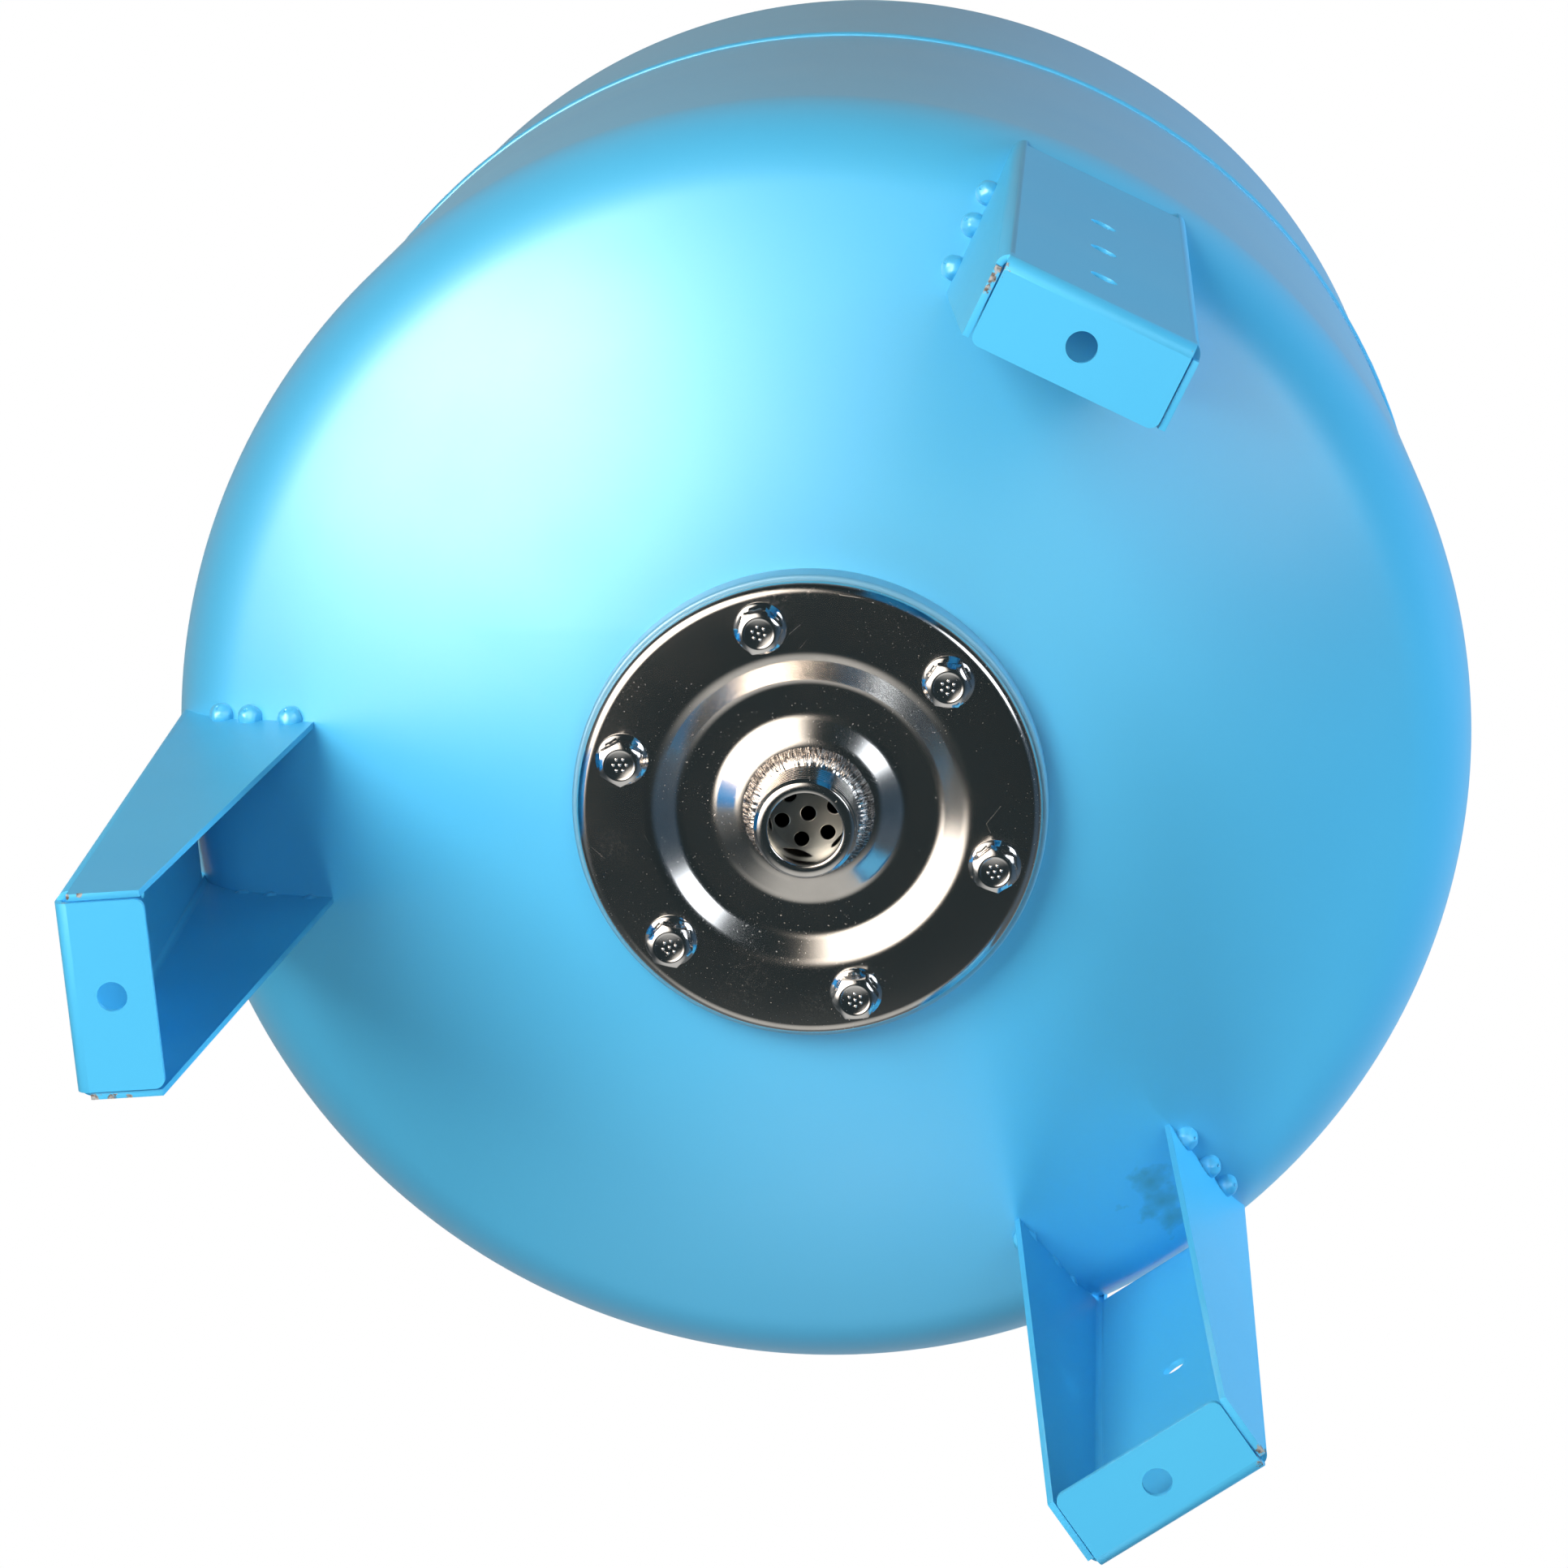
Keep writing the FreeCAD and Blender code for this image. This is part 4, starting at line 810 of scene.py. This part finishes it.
def tack_welds(leg, name):
    """Painted tack welds between a leg's side flanges and the tank: rounded, uneven nuggets."""
    bm = bmesh.new()
    for side in (-1, 1):
        for count, step in enumerate(TACK_STEPS):
            across = side * (LEG_HALF_WIDTH + TACK_OUT)
            out = LEG_WEB_R - step
            z = shell_height(math.hypot(across, out)) - TACK_OUT
            nugget = bmesh.new()
            bmesh.ops.create_icosphere(nugget, subdivisions=5, radius=TACK_R)
            seed = Vector((leg * 7.3, side * 3.1, count * 5.7))
            pit_drop = -0.62 + 0.2 * noise.noise(seed)
            pit_aim = leg_point(leg, side * 0.75, 0.2, pit_drop).normalized()
            for vert in nugget.verts:
                aim = vert.co.normalized()
                pit = 1 - smooth_step(aim.angle(pit_aim) * TACK_R, 0.25, 0.75)
                vert.co *= 0.93 + 0.07 * noise.noise(vert.co * 0.4 + seed) - 0.2 * pit
            merge(bm, nugget, Matrix.Translation(leg_point(leg, across, out, z)))
    add_piece(bm, name + "_tack_nuggets", [name + "_tacks"])


def legs():
    """Three painted legs with rounded sheet edges and their tack welds."""
    for leg, name in enumerate(LEG_NAMES):
        paint = blue_enamel("blue_enamel_" + name, chips=foot_chips(leg), gloss=0.4)
        softened(name + "_folded_channel", name, LEG_EDGE, LEG_FLAT_AREA, paint)
        tack_welds(leg, name)


def valve_boss():
    """Turned boss on top of the tank, with the groove for the valve's seal."""
    boss_low = low("valve_boss")
    groove_z = BOSS_TOP - SEAL_GROOVE_DEPTH
    outline = [(BOSS_BORE_R, boss_low, 0), (BOSS_SPIGOT_R, boss_low, 0.3),
               (BOSS_SPIGOT_R, APEX_HIGH - crown_sag(BOSS_SPIGOT_R), 0),
               (BOSS_R, APEX_HIGH - crown_sag(BOSS_R), 0), (BOSS_R, BOSS_TOP, 1.0),
               (SEAL_GROOVE_R, BOSS_TOP, 0.2), (SEAL_GROOVE_R, groove_z, 0),
               (BOSS_BORE_R, groove_z, 0)]
    add_piece(spin(rounded(outline), BOSS_STEPS), "valve_boss_turned", ["valve_boss"])


def boss_weld():
    """Slightly rippled weld between the boss and the tank."""
    toe_r = reach("valve_boss_weld")
    foot = APEX_HIGH - crown_sag(toe_r)
    top = high("valve_boss_weld")
    rows = []
    for k in range(9):
        bulge = 0.35 * math.sin(math.pi * k / 8)
        rows.append((BOSS_R + (toe_r - BOSS_R) * k / 8 + bulge, top + (foot - top) * k / 8 + bulge))
    bead = spin(rows + [(BOSS_R, APEX_HIGH - crown_sag(BOSS_R))], BOSS_WELD_STEPS)
    for vert in bead.verts:
        radius, turn = polar_of(vert)
        if BOSS_R + 0.3 < radius < toe_r - 0.3:
            ripple = noise.noise(Vector((math.cos(turn), math.sin(turn), 0)) * 12)
            vert.co.z += 0.2 * ripple
    add_piece(bead, "valve_boss_weld_bead", ["valve_boss_weld"], sharp=60)


def valve_body():
    """Brass valve: a shank in the boss, a hexagon and a threaded stem."""
    hex_low, hex_high = BOSS_TOP, BOSS_TOP + BODY_HEX_H
    flat = BODY_AF / 2
    shank_low = low("valve_body")
    count = int((STEM_TOP - hex_high) / 0.1)
    shank = [(BODY_BORE_R, shank_low), (SHANK_R, shank_low), (SHANK_R, hex_low)]
    hexagon = [(flat, hex_low + BODY_HEX_H * k / 3) for k in range(4)] + [(BODY_CROWN_R, hex_high)]
    stem = [(STEM_R, hex_high + (STEM_TOP - STEM_CHAMFER - hex_high) * k / count)
            for k in range(count + 1)]
    mouth = [(STEM_R - STEM_CHAMFER, STEM_TOP), (STEM_BORE_R, STEM_TOP),
             (STEM_BORE_R, STEM_TOP - STEM_BORE_DEPTH), (BODY_BORE_R, STEM_TOP - STEM_BORE_DEPTH)]
    body = spin(shank + hexagon + stem + mouth, VALVE_STEPS)
    hexagon_head(body, BODY_AF, BODY_CROWN_R, hex_high, hex_low)
    for vert in body.verts:
        radius, turn = polar_of(vert)
        if abs(radius - STEM_R) < WELD_DIST and vert.co.z > hex_high + 1.0:
            fade = smooth_step(vert.co.z, hex_high + 1.0, hex_high + 2.2)
            cut = fade * thread_cut(vert.co.z, turn, STEM_PITCH, hex_high)
            set_radius(vert, STEM_R - STEM_THREAD_DEPTH * cut)
    add_piece(body, "brass_valve_body", ["valve_body"], sharp=50)


def valve_cap():
    """Plastic cap with a ribbed grip that fades out below its chamfered top."""
    roof = CAP_TOP - CAP_ROOF
    outline = [(CAP_BORE_R, CAP_LOW, 0.15), (CAP_R, CAP_LOW, 0.3),
               (CAP_R, CAP_TOP - CAP_CHAMFER, 0.4), (CAP_R - CAP_CHAMFER, CAP_TOP, 0.6),
               (0, CAP_TOP, 0), (0, roof, 0), (CAP_BORE_R, roof, 0)]
    cap = spin(rounded(outline), CAP_RIBS * 12)
    for vert in cap.verts:
        radius, turn = polar_of(vert)
        if radius > CAP_R - 0.32 and vert.co.z < CAP_TOP - 2.4:
            fade = 1 - smooth_step(vert.co.z, CAP_TOP - 3.2, CAP_TOP - 2.4)
            rib = 0.5 - 0.5 * math.cos(turn * CAP_RIBS)
            set_radius(vert, radius - CAP_RIB_DEPTH * rib * fade)
    add_piece(cap, "ribbed_valve_cap", ["valve_cap"], sharp=40)


def dress_packed_nodes():
    """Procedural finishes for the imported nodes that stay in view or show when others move."""
    for node, piece in frame["nodes"].items():
        for slot in piece.material_slots:
            slot.material = finishes[slot_of(node)]


AMBIENT = (0.03, 0.035, 0.04)
DARK_ROOM = (0.023, 0.032, 0.035)
# Glows that shiny surfaces mirror: direction, full within and gone beyond so many degrees, colour
SHINE_GLOWS = (
    ((0.0, 0.0, 1.0), 40, 95, (0.33, 0.31, 0.31)),
    ((0.55, 0.83, 0.0), 20, 75, (0.10, 0.10, 0.10)),
    ((-0.66, -0.05, -0.72), 5, 38, (4.4, 3.9, 3.4)),
    ((-0.66, -0.05, -0.72), 4, 24, (11.5, 8.2, 6.0)),
    ((0.45, -0.60, -0.66), 6, 16, (5.5, 5.8, 6.2)),
    ((0.36, 0.74, -0.57), 10, 34, (0.50, 0.47, 0.43)),
    ((-0.8, 0.3, -0.5), 8, 40, (0.22, 0.21, 0.20)),
    ((0.85, -0.1, -0.5), 5, 35, (0.03, 0.055, 0.09)),
)


def studio_world():
    """White to the camera, an even dim light on surfaces, and a room of glows in shiny ones."""
    world = bpy.data.worlds.new("pale_studio")
    bpy.context.scene.world = world
    world.use_nodes = True
    tree = world.node_tree
    tree.nodes.clear()
    add = partial(grow, tree)
    ray = add("ShaderNodeLightPath")
    direction = add("ShaderNodeTexCoord").outputs["Generated"]
    room = DARK_ROOM
    for towards, full, gone, colour in SHINE_GLOWS:
        aim = Vector(towards).normalized()
        facing = vector_work(add, "DOT_PRODUCT", direction, aim, "Value")
        share = add("ShaderNodeMapRange", {"Value": facing,
                                           "From Min": math.cos(math.radians(gone)),
                                           "From Max": math.cos(math.radians(full))},
                    interpolation_type="SMOOTHSTEP").outputs["Result"]
        room = vector_work(add, "ADD", room, vector_work(add, "SCALE", colour, share))
    seen = add("ShaderNodeBackground", {"Color": (1, 1, 1, 1)}).outputs[0]
    shine = add("ShaderNodeBackground", {"Color": room}).outputs[0]
    even = add("ShaderNodeBackground", {"Color": AMBIENT + (1,)}).outputs[0]
    shiny = add("ShaderNodeMath", {0: ray.outputs["Is Glossy Ray"],
                                   1: ray.outputs["Is Transmission Ray"]},
                operation="MAXIMUM").outputs["Value"]
    lit = add("ShaderNodeMixShader", {0: shiny, 1: even, 2: shine}).outputs[0]
    surface = add("ShaderNodeMixShader", {0: ray.outputs["Is Camera Ray"], 1: lit, 2: seen})
    add("ShaderNodeOutputWorld", {"Surface": surface.outputs[0]})


LAMP_AIM = Vector((0, 0, 0.2))


def softbox(name, towards, distance, size, power, colour):
    """Area lamp that lies in a direction from the object and faces it; it isn't mirrored in it."""
    lamp = bpy.data.lights.new(name, "AREA")
    lamp.shape = "RECTANGLE"
    lamp.size, lamp.size_y = size
    lamp.energy = power
    lamp.color = colour
    holder = bpy.data.objects.new(name, lamp)
    away = Vector(towards).normalized()
    holder.location = LAMP_AIM + away * distance
    holder.rotation_euler = (-away).to_track_quat("-Z", "Y").to_euler()
    holder.visible_camera = False
    holder.visible_glossy = False
    bpy.context.scene.collection.objects.link(holder)


# The floor, in metres: its edge, its place just under the feet, and where it fades to white
FLOOR_R = 4.0
FLOOR_Z = -0.0004
FLOOR_PLAIN_R = 0.5
FLOOR_WHITE_R = 1.8


def pale_floor():
    """Floor under the feet, seen from above only; it fades into the white background."""
    bm = bmesh.new()
    bmesh.ops.create_circle(bm, cap_ends=True, segments=96, radius=FLOOR_R)
    mesh = bpy.data.meshes.new("pale_floor")
    bm.to_mesh(mesh)
    bm.free()
    floor = bpy.data.objects.new("pale_floor", mesh)
    floor.location.z = FLOOR_Z
    bpy.context.scene.collection.objects.link(floor)
    material = bpy.data.materials.new("pale_floor")
    material.use_nodes = True
    tree = material.node_tree
    tree.nodes.clear()
    add = partial(grow, tree)
    place = add("ShaderNodeTexCoord").outputs["Object"]
    out = vector_work(add, "LENGTH", place, output="Value")
    fade = add("ShaderNodeMapRange", {"Value": out, "From Min": FLOOR_PLAIN_R,
                                      "From Max": FLOOR_WHITE_R},
               interpolation_type="SMOOTHSTEP").outputs["Result"]
    matt = add("ShaderNodeBsdfDiffuse", {"Color": (0.86, 0.86, 0.86, 1)}).outputs[0]
    white = add("ShaderNodeEmission", {"Color": (1, 1, 1, 1)}).outputs[0]
    clear = add("ShaderNodeBsdfTransparent").outputs[0]
    top = add("ShaderNodeMixShader", {0: fade, 1: matt, 2: white}).outputs[0]
    below = add("ShaderNodeNewGeometry").outputs["Backfacing"]
    both = add("ShaderNodeMixShader", {0: below, 1: top, 2: clear}).outputs[0]
    add("ShaderNodeOutputMaterial", {"Surface": both})
    mesh.materials.append(material)
    for ray in ("diffuse", "glossy", "transmission", "shadow"):
        setattr(floor, "visible_" + ray, False)


def studio_lamps():
    """Soft lamps round the water connection, one from the side and one above."""
    softbox("main_softbox", (-0.62, -0.25, -0.74), 2.2, (1.2, 1.0), 50.0, (1.0, 0.985, 0.96))
    softbox("top_fill", (0.05, -0.55, -0.83), 2.2, (0.8, 0.8), 8.0, (0.92, 0.97, 1.0))
    softbox("low_fill", (0.35, 0.7, -0.62), 2.2, (0.8, 0.8), 15.0, (0.90, 0.96, 1.0))
    softbox("front_fill", (0.2, -0.2, -0.96), 2.2, (0.8, 0.8), 5.0, (0.90, 0.96, 1.0))
    softbox("right_light", (0.85, -0.45, 0.22), 2.0, (0.6, 0.6), 46.0, (0.55, 0.80, 1.0))
    softbox("high_light", (0.3, 0.4, 0.87), 3.0, (2.4, 2.4), 160.0, (1.0, 1.0, 1.0))


def camera():
    """Camera at the photograph's viewpoint."""
    back = (CAMERA_AT - LOOK_AT).normalized()
    right = PICTURE_UP.cross(back).normalized()
    up = back.cross(right)
    eye = bpy.data.cameras.new("photo_camera")
    eye.lens = CAMERA_LENS
    eye.sensor_width = SENSOR
    holder = bpy.data.objects.new("photo_camera", eye)
    turn = Matrix((right, up, back)).transposed().to_4x4()
    holder.matrix_world = Matrix.Translation(CAMERA_AT) @ turn
    bpy.context.scene.collection.objects.link(holder)
    bpy.context.scene.camera = holder


camera()
dress_packed_nodes()
lower_tank()
upper_tank()
girth_bead()
neck()
counter_flange()
water_pipe()
pipe_weld()
bolts()
softened("strainer_sheet_disc", "strainer_disc", DISC_EDGE, DISC_FLAT_AREA)
legs()
valve_boss()
boss_weld()
valve_body()
valve_cap()
studio_world()
studio_lamps()
pale_floor()
bpy.context.scene.view_settings.view_transform = "Standard"
